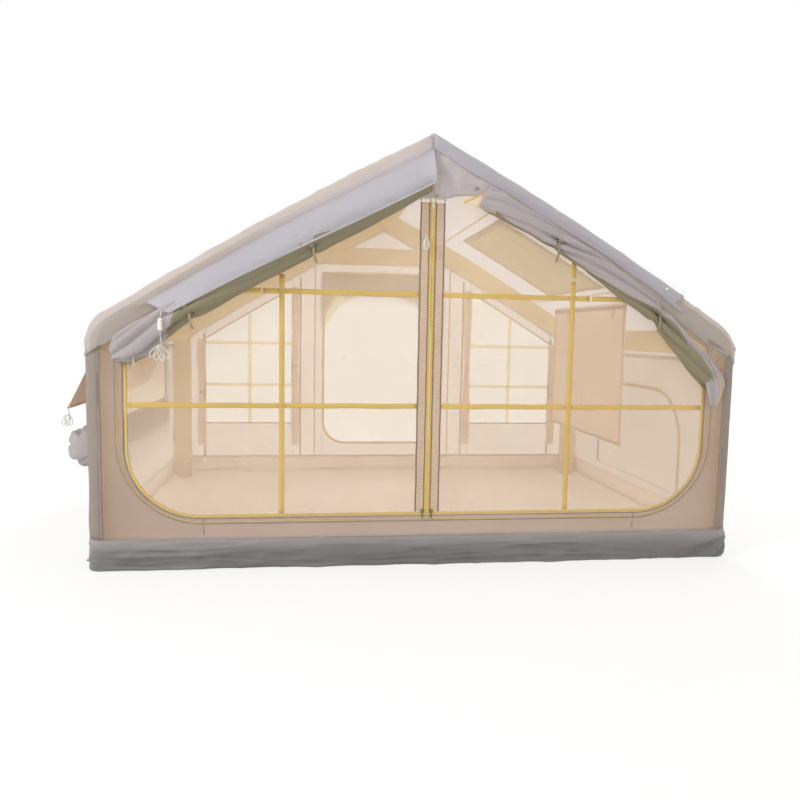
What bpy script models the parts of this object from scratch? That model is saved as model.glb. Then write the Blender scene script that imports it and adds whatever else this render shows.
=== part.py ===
# Inflatable house tent, pitched, with its front doors rolled up. Metres, +Z up.
# The front faces -Y, and the origin is the middle of the floor's underside.
import math

import bmesh
import bpy
from mathutils import Matrix, Vector

for old in list(bpy.data.objects):
    bpy.data.objects.remove(old, do_unlink=True)

# House
width = 3.00
depth = 2.10
ridge_height = 1.95
eave_height = 1.09  # where the planes of wall and roof would meet
eave_bend = 0.165  # outer radius of the bend between them
tub_height = 0.14
fascia = 0.13  # how far the roof cover turns down over each gable

# Cloths and skins
cloth = 0.0025
sleeve_cloth = 0.0015
bladder_skin = 0.0012
mesh_cloth = 0.0014
tape_cloth = 0.0015
clearance = 0.0003
overrun = 0.03  # how far a cutter runs past what it cuts

# Air beams
beam_radius = 0.0625
collar_drop = 0.34  # of the collar beam's axis below the ridge
port_radius = 0.008

# Front doorway, its mesh halves and zips
door_hinge_inset = 0.24  # square to the roof, down to the sewn top of the mesh
doorway_half = 1.333
doorway_bottom = 0.232
doorway_corner = 0.318
zip_width = 0.016
storm_zip_half = 1.371
storm_zip_bottom = 0.204
storm_zip_corner = 0.371
storm_zip_top = 0.93
storm_zip_width = 0.012
webbing_width = 0.023
webbing_reach = 0.66
webbing_low = 0.735
webbing_high = 1.237
centre_tape = 0.060
centre_cut = 0.0022  # off each half at the top of the centre zip, so that it swings past the other
centre_cut_length = 0.050

# Sliders
slider_width = 0.020
slider_body = 0.018
slider_pull = 0.026
slider_pull_width = 0.010
slider_thickness = 0.004

# Rolled doors, their ties and rain flaps
roll_radius = 0.057
roll_depth = 0.045
tie_width = 0.022
upper_tie_along = 0.733
lower_tie_along = 1.320
tie_flat = 0.018  # half of the plain stretch of roll under a tie
buckle_width = 0.024
buckle_thickness = 0.006
strap_end = 0.055
strap_width = 0.012
buckle_facets = {-1: (5, 4), 1: (5, 5)}  # of the roll's sides, for its two ties
flap_apex_turn = 28  # degrees that the left flap wraps past the front of its roll, at the ridge
flap_end_turn = -16
flap_end_top = 1.46
flap_end_low = 1.39
folded_flap_end = 1.42
folded_flap_back = 0.05

# Toggle and ropes
toggle_radius = 0.011
toggle_length = 0.053
toggle_reach = 1.155
toggle_inset = 0.156  # of its top end, square to the roof
rope_diameter = 0.004
rope_lead = 0.066
rope_pitch = 0.0058  # from one loop of a hank to the next
hank_drop = 0.062
hank_wide = 0.030
hank_bend = 0.020
left_hank_loops = 4
left_hank_fan = (-58, 52)  # degrees
small_hank_loops = 3
centre_hank_top = 1.50
centre_hank_lead = 0.012
centre_hank_fan = (-14, 6)
hank_run_out = ((0, 0), (0.004, 0), (0.012, 0.0013), (0.016, 0.006))  # out from the tape, and down
awning_hank_fan = (-40, 30)

# Rear wall
window_inner = 0.66
window_outer = 1.285
window_bottom = 0.39
window_inset = 0.19
muntin_width = 0.022
muntin_reach = 0.969
muntin_low = 0.672
muntin_high = 0.975
rear_door_half = 0.448
rear_door_bottom = 0.232
rear_door_top = 1.50
rear_door_corner = 0.17
rim_width = 0.020
rim_thickness = 0.0012
rear_roll_radius = 0.070
rear_roll_depth = 0.042
curtain_inner = 0.64
curtain_outer = 1.31
curtain_wide = 0.030
curtain_deep = 0.016
curtain_inner_top = 1.39
curtain_outer_top = 1.00
curtain_bottom = 0.23

# Left wall
left_window_half = 0.70
left_window_bottom = 0.60
left_window_top = 0.905
awning_half = 0.80
awning_reach = 0.140
awning_fall = 0.300
awning_sag = 0.010
awning_stops = 8
bundle_half = 0.82
bundle_height = 0.495
bundle_radius = 0.074
bundle_depth = 0.066

# Right wall and right roof
side_door_half = 0.555
side_door_bottom = 0.19
side_door_top = 0.77
side_door_corner = 0.30
skylight_top = 0.588  # down the slope from the ridge
skylight_bottom = 1.222
skylight_front = -0.37
skylight_back = 0.50
skylight_lap = 0.030
curtain_plane = 1.20
hanging_front = -0.45
hanging_back = 0.70
hanging_bottom = 0.45
hanging_fold = 0.010
hanging_folds = 4
hanging_stops = 24
hanging_row_shares = (1.0, 0.75, 0.4, 0.0)

# Inflation valve, on the rear left post
valve_height = 0.30
valve_flange = 0.030
valve_flange_thickness = 0.004
valve_neck = 0.018
valve_reach = 0.030
valve_bore = 0.013
valve_collar = 0.019
valve_collar_length = 0.008
cap_radius = 0.024
cap_wall = 0.0045
cap_length = 0.012
cap_end = 0.002
plunger_disc = 0.003
plunger_stem = 0.004
plunger_stem_length = 0.012
plunger_sink = 0.006

# Counts
beam_sides = 16
arc_steps = beam_sides // 4
bend_steps = 4
corner_steps = 6
roll_sides = 16
valve_sides = 24
loop_points = 24
lead_steps = 10
gap_skip = 4  # diameters along a rope that a gap to itself is not measured over

# Worked out from the sizes above
half_width = width / 2
half_depth = depth / 2
slope = math.atan2(ridge_height - eave_height, half_width)
turn = math.pi / 2 - slope
roof_length = half_width / math.cos(slope)
corner_radius = cloth + clearance + beam_radius
beam_y = half_depth - corner_radius
beam_end_y = beam_y - beam_radius - clearance
bend_x = half_width - eave_bend
bend_z = eave_height - eave_bend * math.tan(turn / 2)
awning_hinge_height = bend_z  # sewn on where the wall starts to bend
collar_height = ridge_height - collar_drop
foot_z = cloth + clearance
wall_foot = tub_height + clearance
gable_half = half_width - corner_radius - clearance
bladder_radius = beam_radius - sleeve_cloth - clearance
proud = tape_cloth + 2 * clearance  # room for a tape behind each roll
mesh_back_y = half_depth - cloth + clearance
mesh_front_y = mesh_back_y + mesh_cloth
tape_back_y = mesh_front_y + clearance
tape_front_y = tape_back_y + tape_cloth
door_half = doorway_half - zip_width - clearance
door_bottom = doorway_bottom + zip_width + clearance
door_corner = doorway_corner - zip_width - clearance
door_top_inset = door_hinge_inset + clearance

# Rolls, as shares: along the roof, inset of the hinge line, radius, depth, crease
left_roll_shares = (
    (0.080, 0.77, 0.70, 0.80, 0.00),
    (0.180, 0.78, 0.88, 0.95, 0.16),
    (0.300, 0.79, 0.98, 1.00, 0.18),
    (0.520, 0.78, 1.00, 1.00, 0.18),
    (0.640, 0.76, 0.98, 1.00, 0.18),
    (0.800, 0.75, 0.94, 1.00, 0.00),
    (0.850, 0.79, 1.00, 1.00, 0.00),
    (0.900, 0.82, 1.12, 1.00, 0.12),
    (0.945, 0.82, 1.02, 0.90, 0.20),
    (0.972, 0.80, 0.50, 0.50, 0.20),
)
right_roll_shares = (
    (0.100, 0.70, 0.55, 0.70, 0.00),
    (0.180, 0.65, 0.90, 0.90, 0.15),
    (0.300, 0.64, 1.00, 1.00, 0.18),
    (0.520, 0.64, 1.02, 1.00, 0.18),
    (0.660, 0.63, 1.00, 1.00, 0.18),
    (0.840, 0.74, 0.96, 0.95, 0.20),
    (0.925, 1.04, 0.90, 0.85, 0.20),
    (0.985, 1.22, 0.72, 0.60, 0.20),
    (1.010, 1.40, 0.40, 0.40, 0.00),
)
roll_lobes = 5
facet_margin_share = 0.08

# The rear bundle's path, as shares of the door's half width and of its height
rear_bundle_shares = (
    (-0.96, 0.750, 0.30),
    (-0.90, 0.815, 0.62),
    (-0.72, 0.890, 0.90),
    (-0.36, 0.930, 1.00),
    (0.10, 0.935, 1.00),
    (0.48, 0.905, 0.90),
    (0.64, 0.860, 0.62),
    (0.66, 0.810, 0.30),
)

# Heights and widths down a tied curtain, as shares
curtain_shares = (
    (1.00, 0.85),
    (0.88, 1.05),
    (0.58, 0.80),
    (0.50, 0.52),
    (0.42, 0.85),
    (0.16, 1.05),
    (0.0, 0.90),
)
bundle_shares = (
    (-1.0, 0.62),
    (-0.90, 0.98),
    (-0.45, 0.92),
    (0.0, 1.0),
    (0.45, 0.90),
    (0.90, 1.0),
    (1.0, 0.66),
)
awning_face_shares = ((0, 0), (0.4, 0.5), (1.0, 1.0))
toggle_waist_share = 0.90
toggle_shares = (
    (0.0, 0.45),
    (0.06, 0.78),
    (0.16, 1.0),
    (0.5, toggle_waist_share),
    (0.84, 1.0),
    (0.94, 0.78),
    (1.0, 0.45),
)
small_hank_share = 0.8
joined_share = 1 / 8  # of a turn, where a hank's lead runs into its first loop


def finish(name, colour, roughness, metallic=0.0):
    material = bpy.data.materials.new(name)
    material.use_nodes = True
    shader = material.node_tree.nodes["Principled BSDF"]
    shader.inputs["Base Color"].default_value = (*colour, 1.0)
    shader.inputs["Roughness"].default_value = roughness
    shader.inputs["Metallic"].default_value = metallic
    return material


roof_grey = (0.55, 0.52, 0.56)
wall_beige = (0.58, 0.47, 0.38)
tub_grey = (0.20, 0.18, 0.19)
beam_amber = (0.72, 0.50, 0.28)
bladder_clear = (0.75, 0.78, 0.78)
mesh_sand = (0.78, 0.68, 0.52)
tape_yellow = (0.75, 0.55, 0.16)
olive = (0.17, 0.16, 0.09)
rope_white = (0.82, 0.82, 0.80)
plastic_dark = (0.05, 0.05, 0.05)


def keep(name, mesh_builder, colour, roughness=0.8):
    """One object of one closed body, with its own material."""
    bmesh.ops.recalc_face_normals(mesh_builder, faces=mesh_builder.faces[:])
    mesh = bpy.data.meshes.new(name)
    mesh_builder.to_mesh(mesh)
    mesh_builder.free()
    mesh.materials.append(finish(name, colour, roughness))
    mesh.shade_smooth()
    mesh.set_sharp_from_angle(angle=math.radians(40))
    made = bpy.data.objects.new(name, mesh)
    bpy.context.scene.collection.objects.link(made)
    return made


def put_origin(piece, pivot):
    piece.data.transform(Matrix.Translation(-Vector(pivot)))
    piece.location = pivot


def combine(piece, other, operation):
    """A Boolean with a guide object that is not a node."""
    modifier = piece.modifiers.new(other.name, "BOOLEAN")
    modifier.operation = operation
    modifier.object = other
    other.hide_render = True
    other.display_type = "WIRE"


def loft(rings, closed=False):
    """Skins rings of equal count: capped at both ends, or closed on itself."""
    made = bmesh.new()
    loops = [[made.verts.new(point) for point in ring] for ring in rings]
    pairs = list(zip(loops, loops[1:]))
    if closed:
        pairs.append((loops[-1], loops[0]))
    else:
        made.faces.new(loops[0][::-1])
        made.faces.new(loops[-1])
    for near, far in pairs:
        for k in range(len(near)):
            following = (k + 1) % len(near)
            made.faces.new((near[k], near[following], far[following], far[k]))
    return made


def plate(outlines, place, start, end):
    """A flat sheet with holes: outlines of (u, v) given thickness from start to end."""
    made = bmesh.new()
    edges = []
    for outline in outlines:
        corners = [made.verts.new(place(u, v, start)) for u, v in outline]
        edges += [made.edges.new(pair) for pair in zip(corners, corners[1:] + corners[:1])]
    bmesh.ops.triangle_fill(made, use_beauty=True, use_dissolve=False, edges=edges)
    extruded = bmesh.ops.extrude_face_region(made, geom=made.faces[:])["geom"]
    moved = [item for item in extruded if isinstance(item, bmesh.types.BMVert)]
    step = Vector(place(0, 0, end)) - Vector(place(0, 0, start))
    bmesh.ops.translate(made, verts=moved, vec=step)
    return made


def on_gable(u, v, w):
    return (u, w, v)


def on_side(u, v, w):
    return (w, u, v)


def on_rafter(side, along, inset, y):
    """A point so far down the slope from the ridge and so far in from the roof."""
    x = side * (along * math.cos(slope) - inset * math.sin(slope))
    z = ridge_height - along * math.sin(slope) - inset * math.cos(slope)
    return Vector((x, y, z))


def under_roof(x, inset):
    return ridge_height - abs(x) * math.tan(slope) - inset / math.cos(slope)


def side_name(side):
    return "left" if side < 0 else "right"


def ring(centre, across, outward, sides, crease=0.0, twist=0.0):
    """An ellipse with radii along two vectors, its creases only ever inward."""
    points = []
    for k in range(sides):
        angle = 2 * math.pi * k / sides
        size = 1 - crease * (0.5 + 0.5 * math.cos(roll_lobes * angle + twist))
        point = Vector(centre) + Vector(across) * (math.cos(angle) * size)
        points.append(point + Vector(outward) * (math.sin(angle) * size))
    return points


# Stations across the house: each gives (x, z) for an inset from the outer skin


def wall_station(side, z):
    return lambda inset: (side * (half_width - inset), z)


def seam_station(side, gap):
    """The fascia's lower edge, carried round to the side wall."""
    start = eave_height - (fascia + gap) / math.cos(slope)
    return lambda inset: (side * (half_width - inset), start + inset * math.tan(slope))


def bend_station(side, angle):
    return lambda inset: (
        side * (bend_x + (eave_bend - inset) * math.cos(angle)),
        bend_z + (eave_bend - inset) * math.sin(angle),
    )


def ridge_station(side, across):
    return lambda inset: (side * across, under_roof(across, inset))


def bend_angles():
    return [turn * k / bend_steps for k in range(bend_steps + 1)]


def fascia_inset(angle):
    """How deep the straight lower edge of the fascia lies at a turn of the bend."""
    return eave_bend - (eave_bend - fascia) / math.cos(turn - angle)


def skin_profile(reach=None):
    """A closed outline of (inset, y): cloth over the side, rounded over both gable ends."""

    def arc(radius, end):
        angles = [math.pi / 2 * k / arc_steps for k in range(arc_steps + 1)]
        return [
            (corner_radius - radius * math.sin(a), end * (beam_y + radius * math.cos(a))) for a in angles
        ]

    outer = arc(corner_radius, -1) + arc(corner_radius, 1)[::-1]
    inner = arc(corner_radius - cloth, 1) + arc(corner_radius - cloth, -1)[::-1]
    if reach is None:
        return outer + inner
    ends = [(reach, half_depth), (reach, half_depth - cloth)]
    return [(reach, -half_depth)] + outer + ends + inner + [(reach, cloth - half_depth)]


def at_station(station, profile):
    return [(station(inset)[0], y, station(inset)[1]) for inset, y in profile]


def floor_tub():
    def outline(inset, z):
        points = []
        for quarter, (x, y) in enumerate(((1, 1), (-1, 1), (-1, -1), (1, -1))):
            for k in range(arc_steps + 1):
                angle = (quarter + k / arc_steps) * math.pi / 2
                reach = corner_radius - inset
                points.append(
                    (
                        x * (half_width - corner_radius) + reach * math.cos(angle),
                        y * beam_y + reach * math.sin(angle),
                        z,
                    )
                )
        return points

    rings = [outline(0, 0), outline(0, tub_height), outline(cloth, tub_height), outline(cloth, cloth)]
    keep("floor_tub", loft(rings), tub_grey)


def u_path(half, bottom, corner, top):
    """Down the left side, round both lower corners and up the right side."""
    points = [(-half, top)]
    for x, start in ((-1, math.pi), (1, 1.5 * math.pi)):
        for k in range(corner_steps + 1):
            angle = start + math.pi / 2 * k / corner_steps
            across = x * (half - corner) + corner * math.cos(angle)
            points.append((across, bottom + corner + corner * math.sin(angle)))
    return points + [(half, top)]


def gable_outline():
    top = under_roof(gable_half, fascia + clearance)
    return [
        (-gable_half, wall_foot),
        (gable_half, wall_foot),
        (gable_half, top),
        (0, under_roof(0, fascia + clearance)),
        (-gable_half, top),
    ]


def front_wall():
    top = under_roof(doorway_half, door_hinge_inset)
    doorway = u_path(doorway_half, doorway_bottom, doorway_corner, top)
    doorway.append((0, under_roof(0, door_hinge_inset)))
    made = plate([gable_outline(), doorway], on_gable, -half_depth, cloth - half_depth)
    keep("front_wall", made, wall_beige)


def window_outline(side, margin):
    inner, outer = window_inner + margin, window_outer - margin
    inset = window_inset + margin
    return [
        (side * inner, window_bottom + margin),
        (side * outer, window_bottom + margin),
        (side * outer, under_roof(outer, inset)),
        (side * inner, under_roof(inner, inset)),
    ]


def rear_wall():
    door = u_path(rear_door_half, rear_door_bottom, rear_door_corner, rear_door_top)
    holes = [door, window_outline(-1, 0), window_outline(1, 0)]
    made = plate([gable_outline()] + holes, on_gable, half_depth - cloth, half_depth)
    keep("rear_wall", made, wall_beige)


def side_door_outline(margin):
    """The side door's arch, its corners rounded at the top."""
    path = u_path(
        side_door_half - margin,
        -side_door_top + margin,
        side_door_corner - margin,
        -side_door_bottom - margin,
    )
    return [(y, -z) for y, z in path]


def valve_hole(name):
    """A cutter on the valve's axis, from outside the wall to the beam's middle."""
    ends = (half_width + overrun, half_width - corner_radius)
    rings = [valve_ring(distance, valve_neck + clearance) for distance in ends]
    return keep(name, loft(rings), plastic_dark)


def side_walls():
    for side in (-1, 1):
        profile = skin_profile()
        rings = [at_station(wall_station(side, wall_foot), profile)]
        rings.append(at_station(seam_station(side, clearance), profile))
        wall = keep(side_name(side) + "_wall", loft(rings), wall_beige)
        if side < 0:
            low, high = left_window_bottom, left_window_top
            reach = left_window_half
            outline = [(-reach, low), (reach, low), (reach, high), (-reach, high)]
            combine(wall, valve_hole("valve_hole_in_wall"), "DIFFERENCE")
        else:
            outline = side_door_outline(0)
        start, end = side * (half_width - overrun), side * (half_width + overrun)
        opening = plate([outline], on_side, start, end)
        combine(wall, keep(side_name(side) + "_wall_opening", opening, wall_beige), "DIFFERENCE")


def roof_covers():
    for side in (-1, 1):
        rings = [at_station(seam_station(side, 0), skin_profile(corner_radius + cloth))]
        for angle in bend_angles():
            rings.append(at_station(bend_station(side, angle), skin_profile(fascia_inset(angle))))
        rings.append(at_station(ridge_station(side, clearance / 2), skin_profile(fascia)))
        cover = keep(side_name(side) + "_roof_cover", loft(rings), roof_grey)
        if side > 0:
            hole = plate([skylight_outline(0)], on_right_roof, -overrun, overrun)
            combine(cover, keep("skylight_hole", hole, roof_grey), "DIFFERENCE")


def on_right_roof(u, v, w):
    return on_rafter(1, u, w, v)


def skylight_outline(margin):
    top, bottom = skylight_top + margin, skylight_bottom - margin
    front, back = skylight_front + margin, skylight_back - margin
    return [(top, front), (bottom, front), (bottom, back), (top, back)]


def arch_ring(station, y, radius):
    points = []
    for k in range(beam_sides):
        angle = 2 * math.pi * k / beam_sides
        x, z = station(corner_radius - radius * math.cos(angle))
        points.append((x, y + radius * math.sin(angle), z))
    return points


def arch_stations(side, foot, across):
    stations = [wall_station(side, foot)]
    stations += [bend_station(side, angle) for angle in bend_angles()]
    return stations + [ridge_station(side, across)]


def arch_sleeves():
    for end, end_name in ((-1, "front"), (1, "rear")):
        for side in (-1, 1):
            stations = arch_stations(side, foot_z, clearance / 2)
            outer = [arch_ring(s, end * beam_y, beam_radius) for s in stations]
            inner = [arch_ring(s, end * beam_y, beam_radius - sleeve_cloth) for s in stations]
            name = f"{end_name}_{side_name(side)}_sleeve"
            sleeve = keep(name, loft(outer + inner[::-1], closed=True), beam_amber)
            if (end, side) == (1, -1):
                combine(sleeve, valve_hole("valve_hole_in_sleeve"), "DIFFERENCE")


def arch_bladders():
    for end, end_name in ((-1, "front"), (1, "rear")):

        def path(foot):
            right = arch_stations(1, foot, 0)
            return right + arch_stations(-1, foot, 0)[:-1][::-1]

        y = end * beam_y
        outer = [arch_ring(s, y, bladder_radius) for s in path(foot_z)]
        inner = [arch_ring(s, y, bladder_radius - bladder_skin) for s in path(foot_z + bladder_skin)]
        port = [arch_ring(wall_station(-1, z), y, port_radius) for z in (foot_z, foot_z + bladder_skin)]
        bladder = keep(end_name + "_arch_bladder", loft(outer + port + inner[::-1]), bladder_clear, 0.3)
        if end > 0:
            combine(bladder, valve_hole("valve_hole_in_bladder"), "DIFFERENCE")


def long_beams():
    """The ridge and eave beams, each a sleeve and the bladder inside it."""
    facet_room = (eave_bend - cloth) * (1 - math.cos(turn / bend_steps / 2))
    places = [("ridge", (0, under_roof(0, corner_radius)))]
    for side in (-1, 1):
        places.append((side_name(side) + "_eave", bend_station(side, turn / 2)(corner_radius + facet_room)))
    for name, (x, z) in places:

        def round_at(y, radius):
            return ring((x, y, z), (radius, 0, 0), (0, 0, radius), beam_sides)

        ends = (-beam_end_y, beam_end_y)
        hollow = beam_radius - sleeve_cloth
        rings = [round_at(y, beam_radius) for y in ends] + [round_at(y, hollow) for y in ends[::-1]]
        keep(name + "_sleeve", loft(rings, closed=True), beam_amber)
        thin = bladder_radius - bladder_skin
        inner_end = beam_end_y - bladder_skin
        rings = [round_at(beam_end_y, bladder_radius), round_at(-beam_end_y, bladder_radius)]
        rings += [round_at(-beam_end_y, port_radius), round_at(-inner_end, port_radius)]
        rings += [round_at(-inner_end, thin), round_at(inner_end, thin)]
        keep(name + "_bladder", loft(rings), bladder_clear, 0.3)


def collar_beam():
    inset = corner_radius + beam_radius + clearance

    def cut_end(side, radius, back):
        points = []
        for k in range(beam_sides):
            angle = 2 * math.pi * k / beam_sides
            z = collar_height + radius * math.sin(angle)
            reach = (under_roof(0, inset + back) - z) / math.tan(slope)
            points.append((side * reach, beam_y + radius * math.cos(angle), z))
        return points

    hollow = beam_radius - sleeve_cloth
    rings = [cut_end(-1, beam_radius, 0), cut_end(1, beam_radius, 0)]
    rings += [cut_end(1, hollow, 0), cut_end(-1, hollow, 0)]
    keep("collar_sleeve", loft(rings, closed=True), beam_amber)
    thin = bladder_radius - bladder_skin
    rings = [cut_end(1, bladder_radius, 0), cut_end(-1, bladder_radius, 0)]
    rings += [cut_end(-1, port_radius, 0), cut_end(-1, port_radius, bladder_skin)]
    rings += [cut_end(-1, thin, bladder_skin), cut_end(1, thin, bladder_skin)]
    keep("collar_bladder", loft(rings), bladder_clear, 0.3)


def door_pivot(side):
    """Middle of the sewn top edge of a mesh door, on its inner face."""
    return on_rafter(side, roof_length / 2, door_top_inset, -mesh_back_y)


def mesh_doors():
    path = u_path(door_half, door_bottom, door_corner, under_roof(door_half, door_top_inset))
    gap = clearance
    for side in (-1, 1):
        outline = [(side * abs(x), z) for x, z in path[: len(path) // 2]]
        top = under_roof(gap, door_top_inset)
        outline += [(side * gap, door_bottom), (side * gap, top - centre_cut_length)]
        outline.append((side * (gap + centre_cut), under_roof(gap + centre_cut, door_top_inset)))
        panel = plate([outline], on_gable, -mesh_front_y, -mesh_back_y)
        door = keep(side_name(side) + "_mesh_door", panel, mesh_sand)
        put_origin(door, door_pivot(side))


def trim(made, point, normal):
    """Cuts a closed mesh with a plane and closes it again."""
    everything = made.verts[:] + made.edges[:] + made.faces[:]
    bmesh.ops.bisect_plane(
        made, geom=everything, dist=clearance / 10, plane_co=point, plane_no=normal, clear_outer=True
    )
    rims = [edge for edge in made.edges if edge.is_boundary]
    bmesh.ops.holes_fill(made, edges=rims, sides=0)


def door_webbing():
    """Flat webbing sewn across and up each mesh half, and the tape along the centre zip."""
    above = under_roof(0, 0)
    half = webbing_width / 2
    bars = [
        (clearance, centre_tape, door_bottom, above),
        (webbing_reach - half, webbing_reach + half, door_bottom, above),
        (clearance, door_half, webbing_low - half, webbing_low + half),
        (clearance, door_half, webbing_high - half, webbing_high + half),
    ]
    columns = sorted({x for bar in bars for x in bar[:2]})
    rows = sorted({z for bar in bars for z in bar[2:]})
    for side in (-1, 1):
        made = bmesh.new()
        corners = {}

        def corner(x, z):
            if (x, z) not in corners:
                corners[x, z] = made.verts.new((side * x, -tape_back_y, z))
            return corners[x, z]

        for left, right in zip(columns, columns[1:]):
            for low, high in zip(rows, rows[1:]):
                x, z = (left + right) / 2, (low + high) / 2
                if any(bar[0] < x < bar[1] and bar[2] < z < bar[3] for bar in bars):
                    lower = [corner(left, low), corner(right, low)]
                    made.faces.new(lower + [corner(right, high), corner(left, high)])
        extruded = bmesh.ops.extrude_face_region(made, geom=made.faces[:])["geom"]
        moved = [item for item in extruded if isinstance(item, bmesh.types.BMVert)]
        bmesh.ops.translate(made, verts=moved, vec=(0, -tape_cloth, 0))
        bmesh.ops.recalc_face_normals(made, faces=made.faces[:])
        under = on_rafter(side, 0, door_top_inset, 0)
        upward = Vector((side * math.sin(slope), 0, math.cos(slope)))
        trim(made, under, upward)
        start = Vector((side * clearance, 0, under_roof(clearance, door_top_inset) - centre_cut_length))
        trim(made, start, Vector((-side * centre_cut_length, 0, centre_cut)))
        webbing = keep(side_name(side) + "_door_webbing", made, tape_yellow)
        put_origin(webbing, door_pivot(side))


def zip_band(outer, band_width, corner, bottom, top):
    path = u_path(outer, bottom, corner, top)
    inner = u_path(outer - band_width, bottom + band_width, corner - band_width, top)
    return path + inner[::-1]


def zip_tracks():
    half = doorway_half - clearance
    band = zip_band(
        half,
        zip_width - clearance,
        doorway_corner - clearance,
        doorway_bottom + clearance,
        under_roof(half, door_top_inset),
    )
    keep("inner_zip_track", plate([band], on_gable, -tape_front_y, -mesh_back_y), tape_yellow)
    band = zip_band(storm_zip_half, storm_zip_width, storm_zip_corner, storm_zip_bottom, storm_zip_top)
    back = half_depth + clearance
    keep("outer_zip_track", plate([band], on_gable, -back - tape_cloth, -back), tape_yellow)


def slider(name, x, top):
    """A slider with its pull hanging straight down."""
    half, pull = slider_width / 2, slider_pull_width / 2
    waist, low = top - slider_body, top - slider_body - slider_pull
    outline = [
        (x - half, top),
        (x - half, waist),
        (x - pull, waist),
        (x - pull, low),
        (x + pull, low),
        (x + pull, waist),
        (x + half, waist),
        (x + half, top),
    ]
    back = tape_front_y + clearance
    panel = plate([outline], on_gable, -back - slider_thickness, -back)
    made = keep(name, panel, olive, 0.5)
    put_origin(made, (x, -back, top))


def zip_sliders():
    slider("centre_zip_slider", 0, under_roof(slider_width, door_top_inset) - clearance)
    top = storm_zip_bottom + storm_zip_width + 2 * clearance + slider_body + slider_pull
    for side in (-1, 1):
        slider(side_name(side) + "_inner_slider", side * (slider_width / 2 + slider_pull_width), top)


def roll_section(side, along):
    """Inset of a roll's middle, its two radii and its crease, at a place along the slope."""
    shares = left_roll_shares if side < 0 else right_roll_shares
    share = along / roof_length
    rows = list(zip(shares, shares[1:]))
    near, far = next((pair for pair in rows if share <= pair[1][0]), rows[-1])
    blend = min(max((share - near[0]) / (far[0] - near[0]), 0), 1)
    inset, wide, deep, crease = (a + (b - a) * blend for a, b in zip(near[1:], far[1:]))
    return inset * door_hinge_inset, wide * roll_radius, deep * roll_depth, crease


def tie_places():
    return (upper_tie_along, lower_tie_along)


def roll_ring(side, along, grow=0.0, crease=None):
    inset, wide, deep, own = roll_section(side, along)
    if crease is None:
        near_tie = any(abs(along - tie) < tie_flat + tie_width / 2 for tie in tie_places())
        crease = 0.0 if near_tie else own
    inward = on_rafter(side, 0, 1, 0) - on_rafter(side, 0, 0, 0)
    centre = on_rafter(side, along, inset, -half_depth - proud - deep)
    across, outward = -inward * (wide + grow), Vector((0, -deep - grow, 0))
    return ring(centre, across, outward, roll_sides, crease, along / roll_radius)


def roll_stops(side):
    shares = left_roll_shares if side < 0 else right_roll_shares
    stops = [row[0] * roof_length for row in shares]
    for tie in tie_places():
        stops += [tie - tie_flat, tie + tie_flat]
    return sorted(stops)


def door_rolls():
    for side in (-1, 1):
        rings = [roll_ring(side, along) for along in roll_stops(side)]
        keep(side_name(side) + "_door_roll", loft(rings), roof_grey)


def roll_ties():
    """A tape round each roll with its buckle on one facet and its end hanging down."""
    for side in (-1, 1):
        for along, which, facet in zip(tie_places(), ("upper", "lower"), buckle_facets[side]):
            ends = (along - tie_width / 2, along + tie_width / 2)
            outer = [roll_ring(side, place, clearance + tape_cloth, 0.0) for place in ends]
            inner = [roll_ring(side, place, clearance, 0.0) for place in ends]
            name = f"{side_name(side)}_roll_tie_{which}"
            tie = keep(name, loft(outer + inner[::-1], closed=True), roof_grey)
            block = []
            for place in (along - buckle_width / 2, along + buckle_width / 2):
                corners = []
                for grow in (clearance + tape_cloth + buckle_thickness, clearance + tape_cloth / 2):
                    start, end = roll_ring(side, place, grow, 0.0)[facet : facet + 2]
                    margin = facet_margin_share
                    corners.append([start.lerp(end, margin), end.lerp(start, margin)])
                block.append(corners[0] + corners[1][::-1])
            combine(tie, keep(name + "_buckle", loft(block), plastic_dark), "UNION")
            corners = block[0] + block[1]
            middle = sum(corners, Vector()) / len(corners)
            end = block_outline(middle.x, middle.z - strap_end / 2, strap_width, strap_end)
            front = -middle.y + tape_cloth / 2
            strap = plate([end], on_gable, -front, tape_cloth - front)
            combine(tie, keep(name + "_strap", strap, roof_grey), "UNION")


def block_outline(x, z, wide, high):
    return [
        (x - wide / 2, z - high / 2),
        (x + wide / 2, z - high / 2),
        (x + wide / 2, z + high / 2),
        (x - wide / 2, z + high / 2),
    ]


def flap_wrap(along):
    return flap_apex_turn + (flap_end_turn - flap_apex_turn) * along / flap_end_low


def flap_profile(along, grow):
    """From the seam out over the roll and down its front, as (inset, y)."""
    inset, wide, deep, _ = roll_section(-1, along)
    wide, deep = wide + proud + clearance + grow, deep + proud + clearance + grow
    middle = -half_depth - proud - roll_section(-1, along)[2]
    start = (corner_radius, -half_depth - clearance - grow)
    u, v = (start[0] - inset) / wide, (start[1] - middle) / deep
    touch = math.atan2(v, u) + math.acos(1 / math.hypot(u, v))
    last = 1.5 * math.pi + math.radians(flap_wrap(along))
    points = [start]
    for k in range(arc_steps + 1):
        angle = touch + (last - touch) * k / arc_steps
        points.append((inset + wide * math.cos(angle), middle + deep * math.sin(angle)))
    return points


def flap_pivot(side):
    return on_rafter(side, roof_length / 2, corner_radius, -half_depth - clearance - cloth)


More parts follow.
